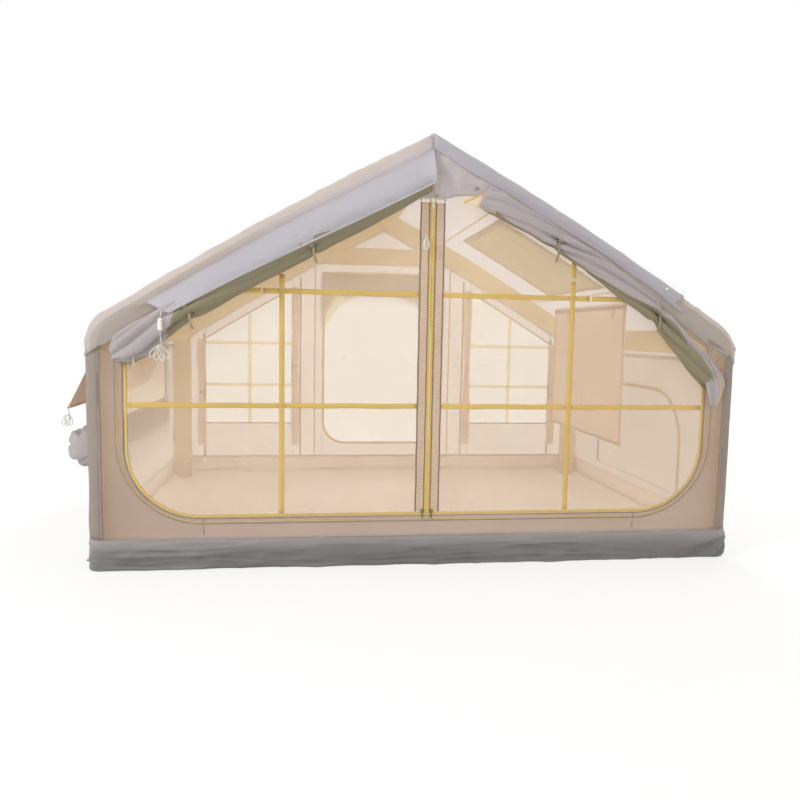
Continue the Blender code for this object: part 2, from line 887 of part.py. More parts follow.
def left_rain_flap():
    rings = []
    stops = [stop for stop in roll_stops(-1) if stop < flap_end_low - tie_flat]
    for place in stops + [flap_end_low]:
        outline = flap_profile(place, cloth) + flap_profile(place, 0)[::-1]
        drop = max(inset for inset, _ in outline)
        section = []
        for inset, y in outline:
            along = place
            if place == stops[0]:
                along = (inset * math.sin(slope) + clearance) / math.cos(slope)
            if place == flap_end_low:
                share = (drop - inset) / (drop - corner_radius)
                along = flap_end_low + (flap_end_top - flap_end_low) * share
            section.append(on_rafter(-1, along, inset, y))
        rings.append(section)
    flap = keep("left_rain_flap", loft(rings), roof_grey)
    put_origin(flap, flap_pivot(-1))


def right_rain_flap():
    """Folded up and back over the roof's edge."""

    def profile(radius):
        angles = [math.pi / 2 * k / arc_steps for k in range(arc_steps + 1)]
        points = [(corner_radius - radius * math.sin(a), -beam_y - radius * math.cos(a)) for a in angles]
        return points + [(corner_radius - radius, folded_flap_back - beam_y)]

    inner = profile(corner_radius + clearance)
    outer = profile(corner_radius + clearance + cloth)
    outline = outer + inner[::-1]
    rings = [[on_rafter(1, (i * math.sin(slope) + clearance) / math.cos(slope), i, y) for i, y in outline]]
    rings.append([on_rafter(1, folded_flap_end, i, y) for i, y in outline])
    flap = keep("right_rain_flap", loft(rings), roof_grey)
    put_origin(flap, flap_pivot(1))


def toggle_top():
    return under_roof(toggle_reach, toggle_inset)


def toggle_axis_y():
    middle = toggle_top() - toggle_length / 2
    along = toggle_reach * math.cos(slope) + (ridge_height - middle) * math.sin(slope)
    deep = roll_section(-1, along)[2]
    return -half_depth - proud - 2 * deep - toggle_radius * toggle_waist_share - 3 * clearance


def left_toggle():
    rings = []
    for down, size in toggle_shares:
        centre = (-toggle_reach, toggle_axis_y(), toggle_top() - down * toggle_length)
        radius = size * toggle_radius
        rings.append(ring(centre, (radius, 0, 0), (0, -radius, 0), roll_sides))
    keep("left_toggle", loft(rings), rope_white, 0.4)


def least_gap(points, diameter):
    """Least distance between stretches of a rope that are far apart along it."""
    apart = gap_skip * diameter
    run = [0.0]
    for near, far in zip(points, points[1:]):
        run.append(run[-1] + (far - near).length)
    return min(
        (points[b] - points[a]).length - diameter
        for a in range(len(points))
        for b in range(a + 1, len(points))
        if run[b] - run[a] > apart
    )


def hank_points(start, lead, loops, drop, wide, angles):
    """A straight lead, then loops that fan from first to last angle as they climb outward."""
    first, last = angles
    knot = Vector(start) + Vector((0, 0, -lead))

    def loop_at(turns):
        fan = math.radians(first + (last - first) * turns / loops)
        angle = 2 * math.pi * turns
        x = wide / 2 * math.sin(angle)
        z = drop / 2 * (math.cos(angle) - 1)
        across = x * math.cos(fan) - z * math.sin(fan)
        up = x * math.sin(fan) + z * math.cos(fan)
        return knot + Vector((across, -rope_pitch * turns, up))

    meet = loop_at(joined_share)
    points = [Vector(start), Vector(start) + Vector((0, 0, -rope_diameter))]
    away = loop_at(joined_share + 1 / loop_points) - meet
    bend = meet - away.normalized() * min(hank_bend, drop / 2)
    upper = points[-1] + Vector((0, 0, -lead / 2))
    for k in range(1, lead_steps):
        t = k / lead_steps
        near, far = points[1] * (1 - t) + upper * 3 * t, bend * 3 * (1 - t) + meet * t
        points.append(near * (1 - t) ** 2 + far * t * t)
    count = int(loops * loop_points)
    points += [loop_at(joined_share + (loops - joined_share) * k / count) for k in range(count + 1)]
    tail = (points[-1] - points[-2]).normalized() * rope_diameter
    return points + [points[-1] + tail]


def rope(name, points):
    curve = bpy.data.curves.new(name, "CURVE")
    curve.dimensions = "3D"
    curve.bevel_depth = rope_diameter / 2
    curve.bevel_resolution = 1
    curve.use_fill_caps = True
    spline = curve.splines.new("POLY")
    spline.points.add(len(points) - 1)
    for place, point in zip(spline.points, points):
        place.co = (*point, 1)
    curve.materials.append(finish(name, rope_white, 0.85))
    made = bpy.data.objects.new(name, curve)
    bpy.context.scene.collection.objects.link(made)
    print(f"{name}: least gap to itself {1000 * least_gap(points, rope_diameter):.2f} mm")
    return made


def rope_hanks():
    start = (-toggle_reach, toggle_axis_y(), toggle_top() - toggle_length - clearance)
    lead = rope_lead - rope_diameter
    points = hank_points(start, lead, left_hank_loops, hank_drop, hank_wide, left_hank_fan)
    rope("left_rope_hank", points)
    # The second hank hangs from the left half's centre tape, clear of the right half
    start = Vector((-centre_tape / 2, -tape_front_y - clearance, centre_hank_top))
    points = [start + Vector((0, -out, -down)) for out, down in hank_run_out[:-1]]
    hung = start + Vector((0, -hank_run_out[-1][0], -hank_run_out[-1][1]))
    small, slim = hank_drop * small_hank_share, hank_wide * small_hank_share**2
    points += hank_points(hung, centre_hank_lead, small_hank_loops, small, slim, centre_hank_fan)
    hank = rope("centre_rope_hank", points)
    put_origin(hank, door_pivot(-1))
    hinge_x = -half_width - clearance
    low = awning_hinge_height - awning_fall - clearance
    lead_start = (hinge_x - awning_reach - cloth / 2, -awning_half + 2 * rope_diameter, low)
    lead = rope_lead / 2
    points = hank_points(lead_start, lead, small_hank_loops, small, hank_wide, awning_hank_fan)
    hank = rope("awning_rope_hank", points)
    put_origin(hank, (hinge_x, 0, awning_hinge_height))


def rimmed(outline_at, place, flat, front, rim):
    """A panel with a raised rim: outline_at(margin) gives its outline so far in."""
    rings = [(outline_at(0), flat), (outline_at(0), rim)]
    rings += [(outline_at(rim_width), rim), (outline_at(rim_width), front)]
    return loft([[place(u, v, w) for u, v in outline] for outline, w in rings])


def rear_mesh_door():
    def outline(margin):
        edge = clearance + margin
        top = rear_door_top - edge
        return u_path(rear_door_half - edge, rear_door_bottom + edge, rear_door_corner - edge, top)

    door = keep(
        "rear_mesh_door",
        rimmed(outline, on_gable, mesh_front_y, mesh_back_y, mesh_back_y - rim_thickness),
        mesh_sand,
    )
    put_origin(door, (0, mesh_back_y - rim_thickness, rear_door_top - clearance))


def rear_door_roll():
    points = [Vector((x * rear_door_half, 0, z * rear_door_top)) for x, z, _ in rear_bundle_shares]
    rings = []
    for k, (_, _, size) in enumerate(rear_bundle_shares):
        ahead = points[min(k + 1, len(points) - 1)] - points[max(k - 1, 0)]
        across = Vector((-ahead.z, 0, ahead.x)).normalized() * rear_roll_radius * size
        deep = rear_roll_depth * size
        centre = points[k] + Vector((0, mesh_front_y + clearance + deep, 0))
        rings.append(ring(centre, across, (0, deep, 0), roll_sides, 0.15, k))
    keep("rear_door_roll", loft(rings), olive)


def rear_windows():
    for side in (-1, 1):
        name = side_name(side) + "_rear_window"
        back = half_depth - cloth / 2
        panel = plate([window_outline(side, clearance)], on_gable, back - mesh_cloth, back)
        pane = keep(name, panel, mesh_sand)
        front, rear = back - mesh_cloth - tape_cloth / 2, back - mesh_cloth / 2
        margin = 2 * clearance
        top = under_roof(muntin_reach + muntin_width / 2, window_inset + margin)
        upright = [
            (side * (muntin_reach - muntin_width / 2), window_bottom + margin),
            (side * (muntin_reach + muntin_width / 2), window_bottom + margin),
            (side * (muntin_reach + muntin_width / 2), top),
            (side * (muntin_reach - muntin_width / 2), top),
        ]
        bars = [upright]
        for height in (muntin_low, muntin_high):
            # the upper bar ends under the sloping top edge
            high = height + muntin_width / 2
            reach = (under_roof(0, window_inset + margin) - high) / math.tan(slope)
            reach = min(window_outer - margin, reach)
            middle = (window_inner + margin + reach) / 2
            length = reach - window_inner - margin
            bars.append(block_outline(side * middle, height, length, muntin_width))
        for k, bar in enumerate(bars):
            lift = k * clearance  # crossing bars lie on each other
            part = keep(f"{name}_bar_{k}", plate([bar], on_gable, front - lift, rear), tape_yellow)
            combine(pane, part, "UNION")


def rear_curtains():
    for side in (-1, 1):
        for x, top, which in (
            (curtain_inner, curtain_inner_top, "inner"),
            (curtain_outer, curtain_outer_top, "outer"),
        ):
            rings = []
            for height, size in curtain_shares:
                z = curtain_bottom + (top - curtain_bottom) * height
                deep = curtain_deep * min(1, size)
                centre = (side * x, half_depth - cloth - clearance - deep, z)
                across = (curtain_wide * size, 0, 0)
                rings.append(ring(centre, across, (0, deep, 0), roll_sides, 0.3, height))
            keep(f"{side_name(side)}_rear_curtain_{which}", loft(rings), wall_beige)


def left_window():
    edge = clearance
    low, high, reach = left_window_bottom + edge, left_window_top - edge, left_window_half - edge
    outline = [(-reach, low), (reach, low), (reach, high), (-reach, high)]
    middle = -half_width + cloth / 2
    made = plate([outline], on_side, middle - mesh_cloth / 2, middle + mesh_cloth / 2)
    keep("left_window_mesh", made, mesh_sand)


def left_awning():
    """Hung out from the eave, its lower edge sagging a little between its corners."""
    hinge_x = -half_width - clearance
    rings = []
    for k in range(awning_stops + 1):
        share = 2 * k / awning_stops - 1
        sag = awning_sag * (1 - share * share)
        inner = [
            (hinge_x - awning_reach * x + sag * z, awning_hinge_height - awning_fall * z)
            for x, z in awning_face_shares
        ]
        outline = inner + [(x - cloth, z) for x, z in inner[::-1]]
        rings.append([(x, share * awning_half, z) for x, z in outline])
    awning = keep("left_awning", loft(rings), roof_grey)
    put_origin(awning, (hinge_x, 0, awning_hinge_height))


def left_window_flap():
    rings = []
    for k, (share, size) in enumerate(bundle_shares):
        deep = bundle_depth * size
        centre = (-half_width - clearance - deep, share * bundle_half, bundle_height)
        rings.append(ring(centre, (0, 0, bundle_radius * size), (-deep, 0, 0), roll_sides, 0.18, k))
    keep("left_window_flap", loft(rings), roof_grey)


def right_side_door():

    def outline(margin):
        return side_door_outline(clearance + margin)

    flat = half_width - cloth
    panel = rimmed(outline, on_side, flat, half_width, half_width + tape_cloth)
    door = keep("right_side_door", panel, wall_beige)
    put_origin(door, (half_width + tape_cloth, 0, side_door_bottom + clearance))


def skylight():
    inset = (cloth - mesh_cloth) / 2
    made = plate([skylight_outline(clearance)], on_right_roof, inset, inset + mesh_cloth)
    keep("skylight_mesh", made, mesh_sand)
    outer = -clearance - cloth
    panel = plate([skylight_outline(-skylight_lap)], on_right_roof, outer, -clearance)
    cover = keep("skylight_cover", panel, olive)
    middle = (skylight_front + skylight_back) / 2
    put_origin(cover, on_rafter(1, skylight_top - skylight_lap, outer, middle))


def hanging_curtain():
    """Hung from the right roof, with folds that deepen downward."""
    top = under_roof(curtain_plane + cloth / 2, cloth + 2 * clearance)
    sheets = []
    for face in (-cloth / 2, cloth / 2):
        for height in hanging_row_shares:
            sheets.append((face, height))
    made = bmesh.new()
    grid = []
    for face, height in sheets:
        line = []
        for k in range(hanging_stops + 1):
            wave = hanging_fold * (1 - height) * math.sin(2 * math.pi * hanging_folds * k / hanging_stops)
            y = hanging_front + (hanging_back - hanging_front) * k / hanging_stops
            z = hanging_bottom + (top - hanging_bottom) * height
            line.append(made.verts.new((curtain_plane + face + wave, y, z)))
        grid.append(line)
    half = len(hanging_row_shares)
    order = grid[:half] + grid[half:][::-1]
    for near, far in zip(order, order[1:] + order[:1]):
        for k in range(hanging_stops):
            made.faces.new((near[k], near[k + 1], far[k + 1], far[k]))
    for k in (0, hanging_stops):
        made.faces.new([line[k] for line in order])
    curtain = keep("hanging_curtain", made, wall_beige)
    put_origin(curtain, (curtain_plane, (hanging_front + hanging_back) / 2, top))


def valve_ring(distance, radius):
    return ring((-distance, beam_y, valve_height), (0, radius, 0), (0, 0, radius), valve_sides)


def inflation_valve():
    face = half_width + clearance
    flange = face + valve_flange_thickness
    collar = flange + valve_collar_length
    neck = half_width - valve_reach
    outer = [(collar, valve_collar), (flange, valve_collar), (flange, valve_flange), (face, valve_flange)]
    outer += [(face, valve_neck), (neck, valve_neck), (neck, valve_bore), (collar, valve_bore)]
    keep("inflation_valve_body", loft([valve_ring(d, r) for d, r in outer], closed=True), plastic_dark, 0.5)
    rim = flange + clearance
    end = rim + cap_length
    hollow = cap_radius - cap_wall
    cap = [(end, cap_radius), (rim, cap_radius), (rim, hollow), (end - cap_end, hollow)]
    made = keep("inflation_valve_cap", loft([valve_ring(d, r) for d, r in cap]), plastic_dark, 0.5)
    put_origin(made, (-rim, beam_y, valve_height))
    front = collar - plunger_sink
    disc = valve_bore - clearance
    back = front - plunger_disc
    parts = [(front, disc), (back, disc), (back, plunger_stem), (back - plunger_stem_length, plunger_stem)]
    made = keep("inflation_valve_plunger", loft([valve_ring(d, r) for d, r in parts]), rope_white, 0.4)
    put_origin(made, (-front, beam_y, valve_height))


floor_tub()
front_wall()
rear_wall()
side_walls()
roof_covers()
arch_sleeves()
arch_bladders()
long_beams()
collar_beam()
mesh_doors()
door_webbing()
zip_tracks()
zip_sliders()
door_rolls()
roll_ties()
left_rain_flap()
right_rain_flap()
left_toggle()
rope_hanks()
rear_mesh_door()
rear_door_roll()
rear_windows()
rear_curtains()
left_window()
left_awning()
left_window_flap()
right_side_door()
skylight()
hanging_curtain()
inflation_valve()
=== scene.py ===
from math import acos, atan2, cos, exp, hypot, pi, radians, sin, sqrt, tan

import bmesh
import bpy
from mathutils import Matrix, Vector, noise


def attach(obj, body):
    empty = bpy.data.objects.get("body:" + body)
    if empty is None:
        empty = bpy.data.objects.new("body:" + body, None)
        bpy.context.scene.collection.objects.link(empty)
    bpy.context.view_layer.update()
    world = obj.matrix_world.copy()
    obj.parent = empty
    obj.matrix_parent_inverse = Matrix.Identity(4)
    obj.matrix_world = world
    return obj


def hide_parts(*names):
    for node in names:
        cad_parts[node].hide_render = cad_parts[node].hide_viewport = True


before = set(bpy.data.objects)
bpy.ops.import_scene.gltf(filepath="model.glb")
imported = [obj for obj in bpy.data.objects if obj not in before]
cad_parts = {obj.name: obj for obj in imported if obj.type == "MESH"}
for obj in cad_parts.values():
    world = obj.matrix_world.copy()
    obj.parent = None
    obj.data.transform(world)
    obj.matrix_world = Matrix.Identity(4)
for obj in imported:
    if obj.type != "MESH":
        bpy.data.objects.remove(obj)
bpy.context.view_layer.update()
xWay, yWay, zWay = Matrix.Identity(3)


def at(x, y, z):
    return Vector((x, y, z))


# The house's own sizes, in metres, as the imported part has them
house = {
    "width": 3.00,
    "depth": 2.10,
    "ridge": 1.95,
    "eave": 1.09,
    "eaveBend": 0.165,
    "tub": 0.14,
    "fascia": 0.13,
    "beam": 0.0625,
    "corner": 0.0653,
    "bow": 0.020,  # how far the rafters bow up between ridge and eave
    "bowReach": 1.42,
    "sag": 0.012,
}
halfWidth = house["width"] / 2
halfDepth = house["depth"] / 2
corner = house["corner"]
slope = atan2(house["ridge"] - house["eave"], halfWidth)
turn = pi / 2 - slope
roofLength = halfWidth / cos(slope)
bendX = halfWidth - house["eaveBend"]
bendZ = house["eave"] - house["eaveBend"] * tan(turn / 2)
roofEnd = roofLength - house["eaveBend"] * tan(turn / 2)
beamY = halfDepth - corner
inward = {side: at(-side * sin(slope), 0, -cos(slope)) for side in (-1, 1)}
downhill = {side: at(side * cos(slope), 0, -sin(slope)) for side in (-1, 1)}
print("frame loaded:", len(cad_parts), "nodes")


def bowAt(x):
    return house["bow"] * sin(pi * min(abs(x) / house["bowReach"], 1))


def onRafter(side, along, inset, y):
    # down the slope from the ridge, and in from the roof, square to it
    x = along * cos(slope) - inset * sin(slope)
    z = house["ridge"] - along * sin(slope) - inset * cos(slope)
    return at(side * x, y, z + bowAt(x) / cos(slope))


def underRoof(x, inset):
    return house["ridge"] - abs(x) * tan(slope) - (inset - bowAt(x)) / cos(slope)


def onBend(side, angle, inset, y):
    reach = house["eaveBend"] - inset
    return at(side * (bendX + reach * cos(angle)), y, bendZ + reach * sin(angle))


def onWall(side, inset, y, z):
    return at(side * (halfWidth - inset), y, z)


def waver(x, y, z):
    # smooth noise, from -1 to 1
    return noise.noise(Vector((x, y, z)))


def spread(start, end, count):
    return [start + (end - start) * k / count for k in range(count + 1)]


def roundTurn(count):
    return spread(0, 2 * pi, count)[:-1]


def smooth(value):
    value = min(max(value, 0.0), 1.0)
    return value * value * (3 - 2 * value)


def bump(value, middle, reach):
    return exp(-(((value - middle) / reach) ** 2))


def sideName(side):
    return "left" if side < 0 else "right"


def addToScene(thing):
    bpy.context.scene.collection.objects.link(thing)


# Camera, as the photograph was taken
camera = {"place": (-0.5398, -4.2058, 1.0623), "yaw": 0.1284, "pitch": -0.0937, "roll": 0.0182, "lens": 31.84}


def setCamera():
    yaw, pitch, roll = camera["yaw"], camera["pitch"], camera["roll"]
    ahead = at(sin(yaw) * cos(pitch), cos(yaw) * cos(pitch), sin(pitch))
    level = at(cos(yaw), -sin(yaw), 0)
    over = level.cross(ahead)
    right = cos(roll) * level + sin(roll) * over
    above = -sin(roll) * level + cos(roll) * over
    data = bpy.data.cameras.new("camera")
    data.lens, data.sensor_width = camera["lens"], 36
    taken = bpy.data.objects.new("camera", data)
    taken.matrix_world = Matrix.Translation(camera["place"]) @ Matrix(
        (right, above, -ahead)).transposed().to_4x4()
    addToScene(taken)
    bpy.context.scene.camera = taken


setCamera()

# Light and ground
studio = {"sky": 0.86, "ground": (0.93, 0.93, 0.93), "groundSize": 60, "groundGlow": 0.72, "fade": (2.5, 6.0)}
lamps = {
    "behind": {"place": (1.8, 6.5, 4.6), "aim": (0, 0, 0.8), "size": 3.0, "watts": 230},
    "front": {"place": (-5.2, -3.9, 4.8), "aim": (0, 0, 0.9), "size": 1.4, "watts": 190},
    "over": {"place": (1.6, 0.6, 6.0), "aim": (0, 0, 0), "size": 2.5, "watts": 40},
}


def seenShare(tree):
    # 1 for what the camera, a mirror or clear film sees, 0 for light that falls on the tent
    path = tree.nodes.new("ShaderNodeLightPath")
    first, second = (tree.nodes.new("ShaderNodeMath") for _ in range(2))
    first.operation = second.operation = "MAXIMUM"
    tree.links.new(path.outputs["Is Camera Ray"], first.inputs[0])
    tree.links.new(path.outputs["Is Glossy Ray"], first.inputs[1])
    tree.links.new(first.outputs[0], second.inputs[0])
    tree.links.new(path.outputs["Is Transmission Ray"], second.inputs[1])
    return second.outputs[0]


def lightStudio():
    bpy.context.scene.view_settings.view_transform = "Standard"
    world = bpy.data.worlds.new("studio")
    bpy.context.scene.world = world
    world.use_nodes = True
    tree = world.node_tree
    soft = tree.nodes["Background"]
    soft.inputs["Color"].default_value = (1.0, 0.99, 0.97, 1)
    soft.inputs["Strength"].default_value = studio["sky"]
    white = tree.nodes.new("ShaderNodeBackground")
    white.inputs["Color"].default_value = (1, 1, 1, 1)
    mix = tree.nodes.new("ShaderNodeMixShader")
    tree.links.new(seenShare(tree), mix.inputs[0])
    tree.links.new(soft.outputs[0], mix.inputs[1])
    tree.links.new(white.outputs[0], mix.inputs[2])
    tree.links.new(mix.outputs[0], tree.nodes["World Output"].inputs["Surface"])
    for name, lamp in lamps.items():
        data = bpy.data.lights.new(name, "AREA")
        data.shape, data.size, data.energy = "DISK", lamp["size"], lamp["watts"]
        light = bpy.data.objects.new(name, data)
        light.location = lamp["place"]
        light.rotation_euler = (Vector(lamp["place"]) - Vector(lamp["aim"])).to_track_quat("Z", "Y").to_euler()
        addToScene(light)
    mesh = bpy.data.meshes.new("ground")
    reach = studio["groundSize"] / 2
    mesh.from_pydata([(-reach, -reach, 0), (reach, -reach, 0), (reach, reach, 0), (-reach, reach, 0)], [],
        [(0, 1, 2, 3)])
    ground = bpy.data.objects.new("ground", mesh)
    ground.location.z = -0.001
    addToScene(ground)
    look = bpy.data.materials.new("ground")
    look.use_nodes = True
    tree = look.node_tree
    paper = tree.nodes["Principled BSDF"]
    paper.inputs["Base Color"].default_value = (*studio["ground"], 1)
    paper.inputs["Roughness"].default_value = 0.6
    glow = tree.nodes.new("ShaderNodeEmission")
    # the floor's shadow fades out into the white around it
    where = tree.nodes.new("ShaderNodeTexCoord")
    reach = tree.nodes.new("ShaderNodeVectorMath")
    reach.operation = "LENGTH"
    tree.links.new(where.outputs["Object"], reach.inputs[0])
    fade = tree.nodes.new("ShaderNodeMapRange")
    fade.interpolation_type = "SMOOTHSTEP"
    fade.inputs["From Min"].default_value, fade.inputs["From Max"].default_value = studio["fade"]
    fade.inputs["To Min"].default_value, fade.inputs["To Max"].default_value = studio["groundGlow"], 1.0
    tree.links.new(reach.outputs["Value"], fade.inputs["Value"])
    share = tree.nodes.new("ShaderNodeMath")
    share.operation = "MULTIPLY"
    tree.links.new(fade.outputs[0], share.inputs[1])
    mix = tree.nodes.new("ShaderNodeMixShader")
    tree.links.new(seenShare(tree), share.inputs[0])
    tree.links.new(share.outputs[0], mix.inputs[0])
    tree.links.new(paper.outputs[0], mix.inputs[1])
    tree.links.new(glow.outputs[0], mix.inputs[2])
    tree.links.new(mix.outputs[0], tree.nodes["Material Output"].inputs["Surface"])
    mesh.materials.append(look)


lightStudio()
print("camera, lamps and ground set")

# Finishes
weavePitch, meshPitch = 0.0011, 0.0016


def bandScale(pitch):
    return pi / 10 / pitch  # Blender's wave texture turns 20 radians for each metre at scale 1


class Finish:
    # a material and a short way to add nodes to it

    def __init__(self, name):
        self.made = bpy.data.materials.new(name)
        self.made.use_nodes = True
        self.tree = self.made.node_tree
        self.shader = self.tree.nodes["Principled BSDF"]
        self.output = self.tree.nodes["Material Output"]
        self.where = self.add("ShaderNodeTexCoord").outputs

    def add(self, kind, inputs=(), **settings):
        node = self.tree.nodes.new(kind)
        for key, value in settings.items():
            setattr(node, key, value)
        for key, value in dict(inputs).items():
            if isinstance(value, bpy.types.NodeSocket):
                self.tree.links.new(value, node.inputs[key])
            else:
                node.inputs[key].default_value = value
        return node

    def link(self, source, target):
        self.tree.links.new(source, target)

    def bands(self, direction, pitch, source, distortion=0.0):
        node = self.add("ShaderNodeTexWave", {"Vector": source, "Scale": bandScale(pitch)},
            bands_direction=direction)
        node.inputs["Distortion"].default_value = distortion
        return node.outputs["Fac"]

    def mottle(self, source, scale, low, high, detail=3.0):
        node = self.add("ShaderNodeTexNoise", {"Vector": source, "Scale": scale, "Detail": detail})
        ramp = self.add("ShaderNodeMapRange", {"Value": node.outputs["Fac"], "From Min": 0.3, "From Max": 0.7})
        ramp.inputs["To Min"].default_value, ramp.inputs["To Max"].default_value = low, high
        return ramp.outputs["Result"]

    def maths(self, operation, first, second):
        return self.add("ShaderNodeMath", {0: first, 1: second}, operation=operation).outputs[0]

    def mixed(self, share, first, second):
        return self.add("ShaderNodeMixShader", {0: share, 1: first, 2: second}).outputs[0]

    def blendColours(self, share, first, second):
        node = self.add("ShaderNodeMix", data_type="RGBA")
        self.link(share, node.inputs[0])
        node.inputs[6].default_value, node.inputs[7].default_value = (*first, 1), (*second, 1)
        return node.outputs[2]


def shade(colour, share):
    return tuple(min(1.0, part * share) for part in colour)


def clothFinish(name, look):
    # woven cloth: two thread directions, slubs, soft stains and light through it
    finish = Finish(name)
    where = finish.where["UV" if look.get("onTape") else "Object"]
    first, second = look.get("threads", "XY" if look.get("onTape") else "XZ")
    pitch = look.get("pitch", weavePitch)
    warp, weft = finish.bands(first, pitch, where, 0.4), finish.bands(second, pitch, where, 0.4)
    threads = finish.maths("ADD", warp, weft)
    slubs = finish.mottle(finish.where["Object"], look.get("slubScale", 260), 0.0, 1.0, 2)
    height = finish.maths("ADD", threads, slubs)
    dimple = finish.add("ShaderNodeBump", {"Height": height, "Strength": look.get("relief", 0.35),
        "Distance": 0.0004})
    creases = finish.mottle(finish.where["Object"], look.get("creaseScale", 14), 0.0, 1.0, 5)
    rumple = finish.add("ShaderNodeBump", {"Height": creases, "Strength": look.get("rumple", 0.3),
        "Distance": 0.006, "Normal": dimple.outputs["Normal"]})
    stains = finish.mottle(finish.where["Object"], look.get("stainScale", 2.4), 0.0, 1.0, 4)
    dust = finish.maths("MULTIPLY", finish.maths("ADD", stains, finish.maths("MULTIPLY", slubs, 0.25)), 0.8)
    low, high = look.get("range", (0.93, 1.05))
    colour = finish.blendColours(dust, shade(look["colour"], low), shade(look["colour"], high))
    # a colour ramp along one axis, away from the middle; on the fascia it is painted shade and on the tub skirt
    # a painted highlight
    if look.get("aside"):
        axis, start, end, tone = look["aside"]
        parts = finish.add("ShaderNodeSeparateXYZ", {0: finish.where["Object"]})
        away = finish.add("ShaderNodeMath", {0: parts.outputs[axis]}, operation="ABSOLUTE")
        share = finish.add("ShaderNodeMapRange", {"Value": away.outputs[0], "From Min": start, "From Max": end},
            interpolation_type="SMOOTHSTEP")
        blend = finish.add("ShaderNodeMix", {0: share.outputs[0], 6: colour}, data_type="RGBA")
        blend.inputs[7].default_value = (*tone, 1)
        colour = blend.outputs[2]
    shader = finish.shader
    finish.link(colour, shader.inputs["Base Color"])
    finish.link(rumple.outputs["Normal"], shader.inputs["Normal"])
    rough = finish.mottle(finish.where["Object"], 40, look.get("rough", 0.8) - 0.07, look.get("rough", 0.8))
    finish.link(rough, shader.inputs["Roughness"])
    shader.inputs["Sheen Weight"].default_value = look.get("sheen", 0.12)
    shader.inputs["Sheen Roughness"].default_value = 0.5
    if look.get("through"):
        lit = finish.add("ShaderNodeBsdfTranslucent")
        glow = finish.blendColours(stains, shade(look["glow"], 0.96), shade(look["glow"], 1.03))
        finish.link(glow, lit.inputs["Color"])
        finish.link(rumple.outputs["Normal"], lit.inputs["Normal"])
        mix = finish.mixed(look["through"], shader.outputs[0], lit.outputs[0])
        if look.get("sheer"):  # a thin lining that lets the outer cloth's light straight in
            hole = finish.add("ShaderNodeBsdfTransparent")
            mix = finish.mixed(look["sheer"], mix, hole.outputs[0])
        finish.link(mix, finish.output.inputs["Surface"])
    return finish.made


def meshFinish(name, look):
    # fine insect mesh: threads with open holes between them
    finish = Finish(name)
    where = finish.where["Object"]
    first, second = look.get("threads", "XZ")
    lines = finish.maths("MAXIMUM", finish.bands(first, meshPitch, where),
        finish.bands(second, meshPitch, where))
    solid = finish.add("ShaderNodeMapRange", {"Value": lines, "From Min": 0.55, "From Max": 0.95})
    solid.inputs["To Min"].default_value, solid.inputs["To Max"].default_value = look["cover"]
    cloudy = finish.mottle(where, 3.0, 0.9, 1.1)
    cover = finish.maths("MULTIPLY", solid.outputs["Result"], cloudy)
    shader = finish.shader
    stains = finish.mottle(where, 5.0, 0.0, 1.0)
    finish.link(finish.blendColours(stains, shade(look["colour"], 0.95), shade(look["colour"], 1.04)),
        shader.inputs["Base Color"])
    shader.inputs["Roughness"].default_value = 0.75
    lit = finish.add("ShaderNodeBsdfTranslucent")
    lit.inputs["Color"].default_value = (*look["glow"], 1)
    thread = finish.mixed(0.5, shader.outputs[0], lit.outputs[0])
    hole = finish.add("ShaderNodeBsdfTransparent")
    finish.link(finish.mixed(cover, hole.outputs[0], thread), finish.output.inputs["Surface"])
    return finish.made


def plasticFinish(name, look):
    # moulded plastic or painted metal, with fine grain and a mottled, worn tone
    finish = Finish(name)
    where = finish.where["Object"]
    grain = finish.mottle(where, 900, 0.0, 1.0, 2)
    dimple = finish.add("ShaderNodeBump", {"Height": grain, "Strength": 0.12, "Distance": 0.0002})
    wear = finish.mottle(where, 90, 0.0, 1.0, 4)
    shader = finish.shader
    finish.link(finish.blendColours(wear, shade(look["colour"], 0.85), shade(look["colour"], 1.12)),
        shader.inputs["Base Color"])
    finish.link(finish.mottle(where, 160, look["rough"] - 0.08, look["rough"] + 0.08),
        shader.inputs["Roughness"])
    finish.link(dimple.outputs["Normal"], shader.inputs["Normal"])
    shader.inputs["Metallic"].default_value = look.get("metal", 0.0)
    if look.get("clear"):
        through = finish.add("ShaderNodeBsdfTransparent")
        finish.link(finish.mixed(look["clear"], shader.outputs[0], through.outputs[0]),
            finish.output.inputs["Surface"])
    return finish.made


def tint(red, green, blue):
    # a colour read as screen values, turned into the renderer's own
    parts = []
    for part in (red, green, blue):
        part /= 255
        parts.append(part / 12.92 if part <= 0.04045 else ((part + 0.055) / 1.055) ** 2.4)
    return tuple(parts)


def cloth(colour, glow=None, through=0, **more):
    return {"colour": tint(*colour), "glow": glow and tint(*glow), "through": through, **more}


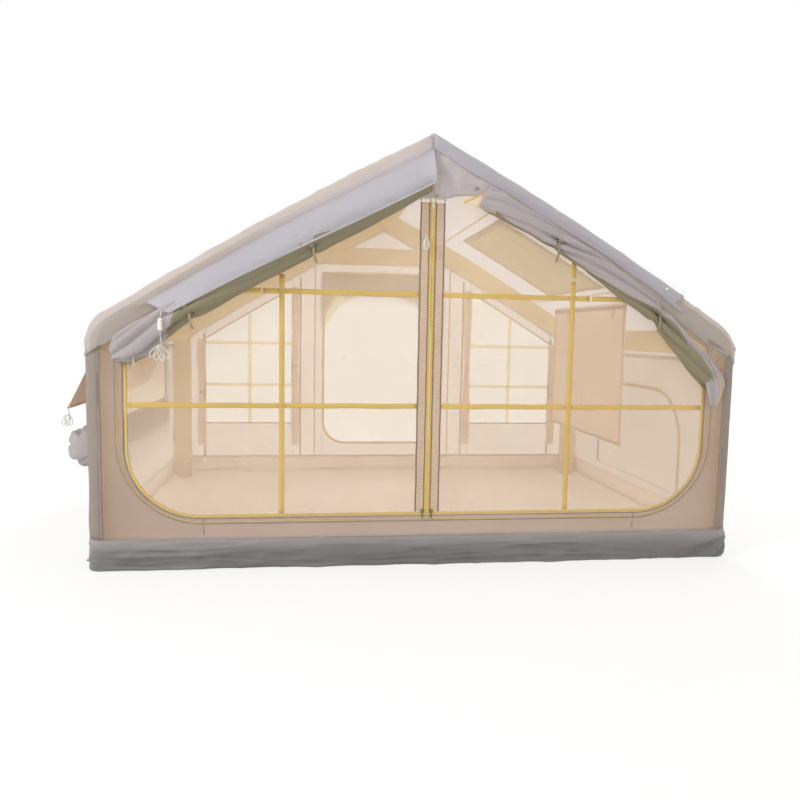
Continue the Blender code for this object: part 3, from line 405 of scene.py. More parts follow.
cloths = {
    "roofCloth": cloth((203, 200, 206), (250, 248, 252), 0.47, threads="YZ"),
    # the fascia is the roof cloth turned down at the front; its aside ramp is painted shade, darker from the
    # apex towards the eaves
    "fasciaCloth": cloth((200, 196, 202), (230, 214, 196), 0.24, aside=("X", 0.25, 1.15, tint(176, 171, 167)),
        rumple=0.5),
    "roofLining": cloth((252, 240, 226), (255, 242, 224), 0.80, sheer=0.92, threads="YZ"),
    "wallCloth": cloth((165, 154, 147), (246, 235, 227), 0.54, range=(0.86, 1.08), stainScale=2.0, rumple=0.5),
    "wallLining": cloth((253, 241, 228), (255, 244, 230), 0.80, sheer=0.80),
    "sideLining": cloth((252, 240, 226), (255, 246, 232), 0.78, sheer=0.68, threads="YZ"),
    # the side walls' cloth where it turns round the corner posts, painted darker than the walls as the shade on
    # the rounded posts
    "postCloth": cloth((150, 142, 135), (220, 200, 176), 0.22, threads="YZ"),
    # the skirt's aside ramp paints it lighter towards its top edge, a painted highlight
    "tubCloth": cloth((116, 113, 113), aside=("Z", 0.06, 0.14, tint(150, 146, 144)), rumple=0.8, rough=0.46,
        range=(0.80, 1.12), creaseScale=9),
    "floorCloth": cloth((254, 236, 226), threads="XY", rumple=0.6, creaseScale=7),
    "sleeveCloth": cloth((255, 234, 196), (255, 238, 202), 0.72),
    "flapCloth": cloth((236, 226, 198), (255, 246, 220), 0.86),
    "coverCloth": cloth((196, 190, 164), (232, 224, 198), 0.62, threads="YZ"),
    "awningCloth": cloth((158, 150, 148), (214, 206, 198), 0.42, threads="YZ"),
    "awningLining": cloth((240, 204, 168), (246, 226, 204), 0.45, threads="YZ",
        aside=("X", 1.548, 1.570, tint(226, 218, 208))),
    # the doors' olive inner side; its colour is darkened as painted shade, for the rolls' shaded undersides
    "oliveCloth": cloth((152, 143, 117), (202, 188, 148), 0.25),
    "rollCloth": cloth((178, 170, 170), (196, 176, 150), 0.12, rumple=0.6, threads="YZ"),
    "curtainCloth": cloth((255, 240, 226), (255, 240, 224), 0.66),
    "columnCloth": cloth((212, 194, 176), (242, 224, 202), 0.45),
    "greyBinding": cloth((146, 140, 134), onTape=True),
    "brownBinding": cloth((134, 112, 102), onTape=True),
    "yellowWebbing": cloth((234, 206, 128), (250, 230, 162), 0.35, onTape=True, pitch=0.0022, relief=0.7),
    "zipCoil": cloth((224, 200, 122), onTape=True, threads="XX", pitch=0.0028, relief=1.0, rough=0.5),
    "paleWebbing": cloth((190, 184, 170), onTape=True, pitch=0.0018, relief=0.7),
    "whiteRope": cloth((236, 236, 228), onTape=True, pitch=0.0016, relief=0.9),
    "hemOrange": cloth((226, 172, 110), onTape=True),
    "tieTape": cloth((150, 138, 112), onTape=True, pitch=0.002, relief=0.7),
    "roofHem": cloth((192, 186, 189), onTape=True),
    "cornerLining": cloth((246, 232, 212), (255, 240, 214), 0.5),
    "seamTape": cloth((206, 172, 148), (220, 186, 156), 0.3, onTape=True),
    "seamOrange": cloth((232, 190, 140), onTape=True),
    "muntinTape": cloth((246, 232, 204), (255, 244, 216), 0.7, onTape=True),
}
meshes = {
    "doorMesh": cloth((248, 233, 210), (254, 240, 218), cover=(0.27, 0.68)),
    "rearMesh": cloth((238, 233, 222), (246, 241, 232), cover=(0.30, 0.80)),
    "windowMesh": cloth((236, 230, 220), (244, 239, 230), cover=(0.30, 0.80)),
    "sideMesh": cloth((236, 212, 180), (246, 224, 194), threads="YZ", cover=(0.60, 0.96)),
    "roofMesh": cloth((230, 220, 190), (244, 236, 206), threads="XY", cover=(0.15, 0.70)),
}
plastics = {
    "creamPlastic": {"colour": tint(236, 232, 214), "rough": 0.42},
    "darkPlastic": {"colour": tint(58, 56, 56), "rough": 0.45},
    "oliveMetal": {"colour": tint(126, 116, 66), "rough": 0.38, "metal": 0.3},
    "beamFilm": {"colour": tint(222, 224, 222), "rough": 0.35, "clear": 0.85},
}
finishes = {}
for build, looks in ((clothFinish, cloths), (meshFinish, meshes), (plasticFinish, plastics)):
    finishes.update({name: build(name, look) for name, look in looks.items()})
print("finishes made:", len(finishes))


# Ways of making pieces


def addGrid(made, rows, material=0):
    lines = [[made.verts.new(point) for point in row] for row in rows]
    for near, far in zip(lines, lines[1:]):
        for k in range(len(near) - 1):
            face = made.faces.new((near[k], near[k + 1], far[k + 1], far[k]))
            face.material_index = material


def ridgeNoise(point, scale, seed):
    spot = at(point[0] * scale[0] + seed, point[1] * scale[1] - seed, point[2] * scale[2] + 2 * seed)
    return noise.noise(spot)


def wrinkle(made, folds, mask=None):
    # pushes the cloth along its normals; a fold is its scale, depth and seed, and
    # has a power where it is a sharp crease
    made.normal_update()
    moves = []
    for vertex in made.verts:
        size = 0.0
        for scale, depth, seed, *power in folds:
            level = ridgeNoise(vertex.co, scale, seed)
            if power:
                level = (1 - abs(level)) ** power[0] - 0.25
            size += level * depth
        moves.append(vertex.normal * (size * (mask(vertex.co) if mask else 1.0)))
    for vertex, move in zip(made.verts, moves):
        vertex.co += move


def place(name, made, looks, body, nodes=()):
    mesh = bpy.data.meshes.new(name)
    made.to_mesh(mesh)
    made.free()
    for look in looks:
        mesh.materials.append(finishes[look])
    mesh.shade_smooth()
    piece = bpy.data.objects.new(name, mesh)
    addToScene(piece)
    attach(piece, body)
    if nodes:
        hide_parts(*nodes)
    return piece


def evenNormals(made):
    bmesh.ops.recalc_face_normals(made, faces=made.faces[:])


def turnOut(made, away):
    # turns every face to look away from a point, or along a direction
    evenNormals(made)
    made.normal_update()
    lean = sum(face.normal.dot(away(face.calc_center_median())) * face.calc_area() for face in made.faces)
    if lean < 0:
        bmesh.ops.reverse_faces(made, faces=made.faces[:])


def sewSheet(name, made, looks, body, away, nodes=(), folds=(), mask=None,
        thick=0.0016):
    # away is a direction, or gives one for each point; half of several looks are the lining's
    bmesh.ops.remove_doubles(made, verts=made.verts[:], dist=0.0004)
    turnOut(made, away if callable(away) else lambda point: Vector(away))
    if folds:
        wrinkle(made, folds, mask)
    area = sum(face.calc_area() for face in made.faces)
    piece = place(name, made, looks, body, nodes)
    if thick:
        solid = piece.modifiers.new("thickness", "SOLIDIFY")
        solid.thickness, solid.offset = thick, -1
        solid.material_offset = len(looks) // 2
    return piece


def strap(made, points, acrosses, width, thick, material=0):
    # a flat band along points; its texture runs in metres along and across it
    points = [Vector(point) for point in points]
    texture = made.loops.layers.uv.verify()
    rings, run = [], 0.0
    for k, point in enumerate(points):
        ahead = points[min(k + 1, len(points) - 1)] - points[max(k - 1, 0)]
        across = Vector(acrosses[k] if isinstance(acrosses, list) else acrosses).normalized()
        up = across.cross(ahead).normalized()
        wide = width[k] if isinstance(width, list) else width
        edge = wide / 2 - min(thick * 0.5, wide * 0.2)
        section = [(-wide / 2, 0), (-edge, thick / 2), (0, thick * 0.6), (edge, thick / 2), (wide / 2, 0)]
        section += [(edge, -thick / 2), (0, -thick * 0.6), (-edge, -thick / 2)]
        rings.append(([made.verts.new(point + across * u + up * v) for u, v in section], run,
            [u for u, v in section]))
        if k + 1 < len(points):
            run += (points[k + 1] - point).length
    for near, far in zip(rings, rings[1:]):
        for k in range(len(near[0])):
            after = (k + 1) % len(near[0])
            face = made.faces.new((near[0][k], near[0][after], far[0][after], far[0][k]))
            face.material_index = material
            marks = ((near[1], near[2][k]), (near[1], near[2][after]), (far[1], far[2][after]),
                (far[1], far[2][k]))
            for loop, mark in zip(face.loops, marks):
                loop[texture].uv = mark
    for ring, flip in ((rings[0][0], True), (rings[-1][0], False)):
        made.faces.new(ring[::-1] if flip else ring).material_index = material


def solidLoft(made, rings, material=0, closed=False):
    loops = [[made.verts.new(point) for point in ring] for ring in rings]
    pairs = list(zip(loops, loops[1:])) + ([(loops[-1], loops[0])] if closed else [])
    for near, far in pairs:
        for k in range(len(near)):
            after = (k + 1) % len(near)
            made.faces.new((near[k], near[after], far[after], far[k])).material_index = material
    if not closed:
        made.faces.new(loops[0][::-1]).material_index = material
        made.faces.new(loops[-1]).material_index = material


def block(made, low, high, material=0, round=0.0):
    # a small bevelled block between two corners
    low, high = Vector(low), Vector(high)
    cube = bmesh.ops.create_cube(made, size=1.0)
    for vertex in cube["verts"]:
        vertex.co = [low[k] + (vertex.co[k] + 0.5) * (high[k] - low[k]) for k in range(3)]
    faces = {face for vertex in cube["verts"] for face in vertex.link_faces}
    for face in faces:
        face.material_index = material
    if round:
        edges = {edge for face in faces for edge in face.edges}
        bmesh.ops.bevel(made, geom=list(edges), offset=round, segments=2, affect="EDGES", profile=0.6)


def uPath(half, bottom, bend, top, straight=14, turns=10, floor=40):
    # down the left side, round both lower corners and up the right side
    points = [(-half, z) for z in spread(top, bottom + bend, straight)]
    for x, start in ((-1, pi), (1, 1.5 * pi)):
        middle = (x * (half - bend), bottom + bend)
        if x > 0:
            points += [(u, bottom) for u in spread(-middle[0], middle[0], floor)[1:]]
        for k in range(1, turns + 1):
            angle = start + pi / 2 * k / turns
            points.append((middle[0] + bend * cos(angle), middle[1] + bend * sin(angle)))
    return points + [(half, z) for z in spread(bottom + bend, top, straight)[1:]]


def pathSides(points):
    # unit vectors square to a flat path, in its own plane
    sides = []
    for k in range(len(points)):
        start, end = points[max(k - 1, 0)], points[min(k + 1, len(points) - 1)]
        u, v = end[0] - start[0], end[1] - start[1]
        length = hypot(u, v)
        sides.append((v / length, -u / length))
    return sides


def toward(inner, outer, share):
    return (inner[0] + (outer[0] - inner[0]) * share, inner[1] + (outer[1] - inner[1]) * share)


# The awning's size, which its rope needs as well
awning = {"half": 0.80, "reach": 0.140, "fall": 0.300, "sag": 0.004}

# Ropes: each hank keeps to the route that the part gives it
rope = {
    "thick": 0.004,
    "pitch": 0.0058,
    "lead": 0.066,
    "drop": 0.062,
    "wide": 0.030,
    "bend": 0.020,
    "small": 0.8,
}
tapeFront = 1.0510
clearance = 0.0003
doorHingeInset = 0.24
proud = 0.0021
toggle = {"reach": 1.155, "inset": 0.156, "length": 0.053, "radius": 0.011, "waist": 0.90}
rollWide, rollDeep = 0.057, 0.045

# Rolls, as shares: along the roof, inset of the hinge line, width, depth
leftRollShares = (
    (0.080, 0.77, 0.70, 0.80),
    (0.180, 0.78, 0.88, 0.95),
    (0.300, 0.79, 0.98, 1.00),
    (0.520, 0.78, 1.00, 1.00),
    (0.640, 0.76, 0.98, 1.00),
    (0.800, 0.75, 0.94, 1.00),
    (0.850, 0.79, 1.00, 1.00),
    (0.900, 0.82, 1.12, 1.00),
    (0.945, 0.82, 1.02, 0.90),
    (0.972, 0.80, 0.50, 0.50),
)
rightRollShares = (
    (0.196, 0.60, 0.84, 0.80),
    (0.240, 0.58, 0.88, 1.00),
    (0.299, 0.59, 0.80, 1.00),
    (0.354, 0.57, 0.77, 0.95),
    (0.414, 0.57, 0.66, 0.85),
    (0.499, 0.58, 0.72, 0.95),
    (0.576, 0.59, 0.74, 1.00),
    (0.650, 0.64, 0.83, 1.00),
    (0.733, 0.67, 0.68, 0.90),
    (0.777, 0.72, 0.70, 0.85),
    (0.845, 0.88, 0.84, 0.95),
    (0.916, 1.04, 0.86, 0.95),
    (0.962, 1.12, 0.80, 0.85),
    (0.985, 1.20, 0.60, 0.60),
)


def rollSection(side, along):
    shares = leftRollShares if side < 0 else rightRollShares
    share = along / roofLength
    pairs = list(zip(shares, shares[1:]))
    near, far = next((pair for pair in pairs if share <= pair[1][0]), pairs[-1])
    blend = min(max((share - near[0]) / (far[0] - near[0]), 0), 1)
    inset, wide, deep = (a + (b - a) * blend for a, b in zip(near[1:], far[1:]))
    return inset * doorHingeInset, wide * rollWide, deep * rollDeep


def toggleAxis():
    # the part's rafters are straight, so its own roof line is used here
    top = house["ridge"] - toggle["reach"] * tan(slope) - toggle["inset"] / cos(slope)
    middle = top - toggle["length"] / 2
    along = toggle["reach"] * cos(slope) + (house["ridge"] - middle) * sin(slope)
    deep = rollSection(-1, along)[2]
    y = -halfDepth - proud - 2 * deep - toggle["radius"] * toggle["waist"] - 3 * clearance
    return y, top


def hankRoute(start, lead, loops, drop, wide, fan, joined=1 / 8, turnPoints=24, leadPoints=10):
    first, last = fan
    knot = Vector(start) + at(0, 0, -lead)

    def loopAt(turns):
        lean = radians(first + (last - first) * turns / loops)
        angle = 2 * pi * turns
        x, z = wide / 2 * sin(angle), drop / 2 * (cos(angle) - 1)
        across, up = x * cos(lean) - z * sin(lean), x * sin(lean) + z * cos(lean)
        return knot + at(across, -rope["pitch"] * turns, up)

    meet = loopAt(joined)
    points = [Vector(start), Vector(start) + at(0, 0, -rope["thick"])]
    away = loopAt(joined + 1 / turnPoints) - meet
    bend = meet - away.normalized() * min(rope["bend"], drop / 2)
    upper = points[-1] + at(0, 0, -lead / 2)
    for k in range(1, leadPoints):
        t = k / leadPoints
        near, far = points[1] * (1 - t) + upper * 3 * t, bend * 3 * (1 - t) + meet * t
        points.append(near * (1 - t) ** 2 + far * t * t)
    count = int(loops * turnPoints)
    points += [loopAt(joined + (loops - joined) * k / count) for k in range(count + 1)]
    tail = (points[-1] - points[-2]).normalized() * rope["thick"]
    return points + [points[-1] + tail]


def hankRoutes():
    y, top = toggleAxis()
    start = (-toggle["reach"], y, top - toggle["length"] - clearance)
    left = hankRoute(start, rope["lead"] - rope["thick"], 4, rope["drop"], rope["wide"], (-58, 52))
    start = at(-0.030, -tapeFront - clearance, 1.50)
    runOut = ((0, 0), (0.004, 0), (0.012, 0.0013), (0.016, 0.006))
    centre = [start + at(0, -out, -down) for out, down in runOut[:-1]]
    hung = start + at(0, -runOut[-1][0], -runOut[-1][1])
    drop = rope["drop"] * rope["small"]
    centre += hankRoute(hung, 0.012, 3, drop, rope["wide"] * rope["small"] ** 2, (-14, 6))
    low = (-halfWidth - clearance - awning["reach"] - 0.00125, -awning["half"] + 2 * rope["thick"],
        bendZ - awning["fall"] - clearance)
    outer = hankRoute(low, rope["lead"] / 2, 3, drop, rope["wide"], (-40, 30))
    return {"left": left, "centre": centre, "awning": outer}


hanks = {
    "left": {"body": "house", "node": "left_rope_hank"},
    "centre": {"body": "left_mesh_door", "node": "centre_rope_hank"},
    "awning": {"body": "awning", "node": "awning_rope_hank"},
}


def tubeAlong(made, points, radius, sides=10):
    # a round rope with its strands as a shallow twist, and its texture in metres
    texture = made.loops.layers.uv.verify()
    rings, run = [], 0.0
    ahead = (points[1] - points[0]).normalized()
    across = ahead.orthogonal().normalized()
    for k, point in enumerate(points):
        ahead = (points[min(k + 1, len(points) - 1)] - points[max(k - 1, 0)]).normalized()
        across = (across - ahead * across.dot(ahead)).normalized()
        up = ahead.cross(across)
        ring = []
        for j in range(sides):
            angle = 2 * pi * j / sides
            size = radius * (1 + 0.05 * cos(4 * angle + run / 0.0016))
            ring.append(made.verts.new(point + across * cos(angle) * size + up * sin(angle) * size))
        rings.append((ring, run))
        if k + 1 < len(points):
            run += (points[k + 1] - point).length
    for near, far in zip(rings, rings[1:]):
        for j in range(sides):
            after = (j + 1) % sides
            face = made.faces.new((near[0][j], near[0][after], far[0][after], far[0][j]))
            marks = ((near[1], j), (near[1], j + 1), (far[1], j + 1), (far[1], j))
            for loop, (u, v) in zip(face.loops, marks):
                loop[texture].uv = (u, v * radius)
    made.faces.new(rings[0][0][::-1])
    made.faces.new(rings[-1][0])
    return run


def refine(points, step):
    # more points on the same route
    finer = [points[0]]
    for near, far in zip(points, points[1:]):
        count = max(1, round((far - near).length / step))
        finer += [near.lerp(far, k / count) for k in range(1, count + 1)]
    return finer


def makeHanks():
    for name, route in hankRoutes().items():
        about = hanks[name]
        made = bmesh.new()
        length = tubeAlong(made, refine(route, 0.0016), rope["thick"] / 2)
        piece = place(name + "Hank", made, ["whiteRope"], about["body"], [about["node"]])
        knot = bmesh.new()
        end = route[-1]
        lump = [end + at(0.0022 * cos(a), -0.0006, 0.0022 * sin(a)) for a in spread(0, 1.8 * pi, 14)]
        tubeAlong(knot, lump, rope["thick"] * 0.42, sides=8)
        knotPiece = place(name + "HankKnot", knot, ["whiteRope"], about["body"])


makeHanks()
print("ropes hung")


# Floor tub: a grey skirt outside, a rumpled floor inside
tub = {"cornerSteps": 8, "fan": (0.005, 0.016)}


def tubOutline(inset, perSide=120, perEnd=80):
    points = []
    for quarter, (x, y) in enumerate(((1, 1), (-1, 1), (-1, -1), (1, -1))):
        middle = (x * (halfWidth - corner), y * beamY)
        for k in range(tub["cornerSteps"] + 1):
            angle = (quarter + k / tub["cornerSteps"]) * pi / 2
            points.append((middle[0] + (corner - inset) * cos(angle),
                middle[1] + (corner - inset) * sin(angle)))
        step = perSide if quarter % 2 == 0 else perEnd
        nextX, nextY = ((-1, 1), (-1, -1), (1, -1), (1, 1))[quarter]
        angle = (quarter + 1) * pi / 2
        start = points[-1]
        end = (nextX * (halfWidth - corner) + (corner - inset) * cos(angle),
            nextY * beamY + (corner - inset) * sin(angle))
        points += [toward(start, end, j / step) for j in range(1, step)]
    return points


def makeTub():
    heights = [0.0015, 0.005] + spread(0.010, 0.130, 20) + [0.1355, house["tub"]]
    rows = []
    for z in heights:
        tuck = 0.0006 * bump(z, 0.0, 0.006)
        outline = tubOutline(tuck - 0.0030 * smooth((house["tub"] - z) / 0.02))
        rows.append([at(x, y, z) for x, y in outline + outline[:1]])

    def outside(point):
        return at(point.x, point.y * 1.4, 0)

    def mask(point):
        atCorner = 1 - 0.6 * smooth((abs(point.x) - 1.36) / 0.06)
        return (0.15 + 0.85 * smooth((house["tub"] - 0.004 - point.z) / 0.05)) * atCorner

    for row in rows:
        for point in row:
            across, up = halfWidth - abs(point.x), point.z
            if point.y < -beamY and across < 0.55:
                fan = atan2(house["tub"] - 0.02 - up, across + 0.03)
                share = smooth((0.55 - across) / 0.3) * smooth(up / 0.02) * smooth((house["tub"] - up) / 0.02)
                strength = tub["fan"][1 if point.x > 0 else 0]
                point.y -= strength * share * abs(sin(fan * 7.0 + 1.3 * noise.noise(point * 4))) ** 3
    made = bmesh.new()
    addGrid(made, rows)
    folds = [((7, 7, 22), 0.0030, 3.1), ((2.4, 2.4, 34), 0.0085, 8.4, 5), ((1.3, 1.3, 24), 0.0090, 14.4, 9),
        ((5, 5, 13), 0.0060, 21.7, 10), ((34, 34, 10), 0.0012, 1.7, 4)]
    sewSheet("tubSkirt", made, ["tubCloth", "floorCloth"], "house",
        nodes=["floor_tub"], folds=folds, mask=mask, away=outside, thick=0.002)
    # the floor itself, rumpled where it is not stretched
    made = bmesh.new()
    reachX, reachY = halfWidth - 0.012, halfDepth - 0.012
    rows = []
    for y in spread(-reachY, reachY, 84):
        row = []
        for x in spread(-reachX, reachX, 120):
            edge = min(reachX - abs(x), reachY - abs(y))
            lift = 0.03 * (1 - smooth(edge / 0.05)) ** 2
            row.append(at(x, y, 0.004 + lift))
        rows.append(row)
    addGrid(made, rows)

    def floorMask(point):
        edge = min(reachX - abs(point.x), reachY - abs(point.y))
        return 0.2 + 0.8 * smooth(edge / 0.2)

    folds = [((3.2, 7.5, 1), 0.006, 5.2), ((2.2, 9.0, 1), 0.016, 11.3, 7), ((10, 3.4, 1), 0.010, 7.9, 7)]
    for vertex in made.verts:
        vertex.co.z += 0.008
    sewSheet("tubFloor", made, ["floorCloth"], "house",
        folds=folds, mask=floorMask, away=(0, 0, 1), thick=0.001)
    # binding along the skirt's top seam
    made = bmesh.new()
    outline = tubOutline(-0.0006)
    points = [at(x, y, house["tub"] - 0.004) for x, y in outline + outline[:1]]
    strap(made, points, zWay, 0.008, 0.0012)
    place("tubBinding", made, ["greyBinding"], "house")


makeTub()
print("floor tub sewn")

# Front wall, sewn of strips round the doorway
doorway = {
    "half": 1.333,
    "bottom": 0.232,
    "corner": 0.318,
    "hinge": doorHingeInset,
    "clothEnd": {-1: 0.196, 1: 0.150},
}
doorway["gusset"] = ((1.333, 0.24), (1.333, 0.105), (1.4344, 0.105))
gableHalf = 1.4344


def gablePlace(y):
    return lambda u, v: at(u, y, v)


def frameGrid(made, inner, outer, steps, put):
    # cloth between two outlines of as many points, in strips from the inner one out
    rows = [[put(*toward(a, b, share)) for a, b in zip(inner, outer)] for share in spread(0, 1, steps)]
    addGrid(made, rows)


def matchCorners(innerCounts, corners):
    # an outline through corners, each stretch cut into as many steps as the inner one has
    points = [corners[0]]
    for count, start, end in zip(innerCounts, corners, corners[1:]):
        points += [toward(start, end, (k + 1) / count) for k in range(count)]
    return points


def makeFrontWall():
    top = underRoof(doorway["half"], doorway["hinge"])
    straight, turns, level = 22, 14, 70
    inner = uPath(doorway["half"], doorway["bottom"], doorway["corner"], top, straight, turns, level)
    foot = house["tub"] + 0.001
    high = underRoof(gableHalf, house["fascia"] - 0.02)
    bend = doorway["corner"]
    corners = [(-gableHalf, high), (-gableHalf, doorway["bottom"] + bend), (-gableHalf, foot),
        (-doorway["half"] + bend, foot), (doorway["half"] - bend, foot), (gableHalf, foot),
        (gableHalf, doorway["bottom"] + bend), (gableHalf, high)]
    counts = [straight, turns // 2, turns - turns // 2, level, turns // 2, turns - turns // 2, straight]
    outer = matchCorners(counts, corners)
    made = bmesh.new()
    put = gablePlace(-halfDepth + 0.0012)
    frameGrid(made, inner, outer, 12, put)
    for side in (-1, 1):  # strips along the rafters, over the doors
        rows = []
        for inset in spread(house["fascia"] - 0.02, doorway["clothEnd"][side], 4):
            start, end = inset * tan(slope), (doorway["half"] + inset * sin(slope)) / cos(slope)
            rows.append([onRafter(side, along, inset, -halfDepth + 0.0012) for along in spread(start, end, 60)])
        addGrid(made, rows)
        low, top, tip = (at(side * x, -halfDepth + 0.0012, underRoof(x, inset))
            for x, inset in doorway["gusset"])
        rows = [[top.lerp(tip, share).lerp(low.lerp(tip, share), down) for share in spread(0, 0.98, 8)]
            for down in spread(0, 1, 8)]
        addGrid(made, rows)

    def mask(point):
        return smooth((point.z - foot) / 0.03) * smooth((gableHalf + 0.004 - abs(point.x)) / 0.03)

    folds = [((7, 1, 5), 0.0020, 2.4), ((20, 1, 5), 0.0018, 6.1, 6), ((4, 1, 13), 0.0018, 16.1, 9)]
    sewSheet("frontWall", made, ["wallCloth", "sideLining"], "house",
        nodes=["front_wall"], folds=folds,
        mask=mask, away=(0, -1, 0))


makeFrontWall()
print("front wall sewn")

# Side walls: each is one cloth that wraps round both corner beams to the gable seams
sideWalls = {
    "leftWindow": (0.70, 0.60, 0.905),
    "doorHalf": 0.555,
    "doorBottom": 0.19,
    "doorTop": 0.77,
    "doorCorner": 0.30,
}


def cornerProfile(end, steps=8):
    # round one corner beam, from the gable seam to the side: (inset, y)
    points = []
    for k in range(steps + 1):
        angle = pi / 2 * k / steps
        points.append((corner - corner * sin(angle), end * (beamY + corner * cos(angle))))
    return points


def seamHeight(inset):
    return house["eave"] - house["fascia"] / cos(slope) + inset * tan(slope)


def makeSideWall(side):
    made = bmesh.new()
    foot, rows = house["tub"] + 0.001, 30
    # the corner strips take the post cloth, painted darker as shade on the rounded posts
    for end in (-1, 1):
        profile = cornerProfile(end)
        grid = [[onWall(side, inset, y, foot + (seamHeight(inset) + 0.02 - foot) * share)
            for inset, y in profile] for share in spread(0, 1, rows)]
        addGrid(made, grid, 1)
    top = seamHeight(0) + 0.02
    if side < 0:
        half, low, high = sideWalls["leftWindow"]
        counts = [44, 10, 44, 10]
        inner = matchCorners(counts, [(-half, low), (half, low), (half, high), (-half, high), (-half, low)])
        outer = matchCorners(counts, [(-beamY, foot), (beamY, foot), (beamY, top), (-beamY, top),
            (-beamY, foot)])
    else:
        half, low, high, bend = (sideWalls[key] for key in ("doorHalf", "doorBottom", "doorTop", "doorCorner"))
        arch = uPath(half, -high, bend, -low, 8, 10, 16)
        inner = [(y, -z) for y, z in arch]
        inner += [toward(inner[-1], inner[0], k / 20) for k in range(1, 21)]
        corners = [(-beamY, foot), (-beamY, high - bend), (-beamY, top), (-half + bend, top),
            (half - bend, top)]
        corners += [(beamY, top), (beamY, high - bend), (beamY, foot), (-beamY, foot)]
        outer = matchCorners([8, 5, 5, 16, 5, 5, 8, 20], corners)
    frameGrid(made, inner, outer, 12, lambda y, z: onWall(side, 0.0006, y, z))

    def mask(point):
        return smooth((point.z - foot) / 0.04) * smooth((top - point.z) / 0.04)

    folds = [((6, 4, 6), 0.0030, 4.2 + side), ((9, 9, 3), 0.0028, 9.6 + side, 6)]
    for vertex in made.verts:
        if abs(vertex.co.y) < beamY:
            hollow = (sin(pi * (vertex.co.y + beamY) / (2 * beamY))
                * sin(pi * (vertex.co.z - foot) / (top - foot)))
            vertex.co.x -= side * 0.004 * hollow
    sewSheet(sideName(side) + "Wall", made, ["wallCloth", "postCloth", "sideLining", "sideLining"], "house",
        nodes=[sideName(side) + "_wall"],
        folds=folds, mask=mask, away=lambda point: at(side, 0.6 * (point.y / halfDepth) ** 5,
        0))


for side in (-1, 1):
    makeSideWall(side)
print("side walls sewn")

# Roof covers, with the fascias that turn down over both gables
roof = {"apexDrop": 0.118, "apexReach": 0.235, "cornerSteps": 7, "flatSteps": 56, "fasciaSteps": 9}
skylight = {"top": 0.588, "bottom": 1.222, "front": -0.37, "back": 0.50, "lap": 0.030}


def roofSag(along, y):
    across = sin(pi * min(max(along / roofEnd, 0), 1))
    deep = cos(pi / 2 * min(abs(y) / beamY, 1))
    return house["sag"] * across**0.8 * deep**0.7


def fasciaReach(end, along):
    # the covers are gathered deeper at the front apex
    extra = roof["apexDrop"] if end < 0 else 0.0
    return (house["fascia"] + extra * bump(along, 0, roof["apexReach"])
        + (0.004 * sin(9 * along) if end < 0 else 0))


def coverProfile(reachFront, reachBack, sag):
    # from the front fascia's edge over the roof to the rear one: (inset, y)
    points = [(reachFront + (corner - reachFront) * share, -halfDepth - 0.0012)
        for share in spread(0, 1, roof["fasciaSteps"])]
    steps = roof["cornerSteps"]
    for k in range(1, steps + 1):
        angle = pi / 2 * k / steps
        points.append((corner - (corner + 0.0012) * sin(angle), -beamY - (corner + 0.0012) * cos(angle)))
    for y in spread(-beamY, beamY, roof["flatSteps"])[1:-1]:
        points.append((-0.0012 + sag(y), y))
    back = [(inset, -y) for inset, y in points[: roof["fasciaSteps"] + 1 + steps]][::-1]
    grown = []
    for k, (inset, y) in enumerate(back):
        if k >= steps:
            share = (k - steps) / roof["fasciaSteps"]
            inset = corner + (reachBack - corner) * share
        grown.append((inset, y))
    return points + grown


def inSkylight(along, y):
    return skylight["top"] < along < skylight["bottom"] and skylight["front"] < y < skylight["back"]


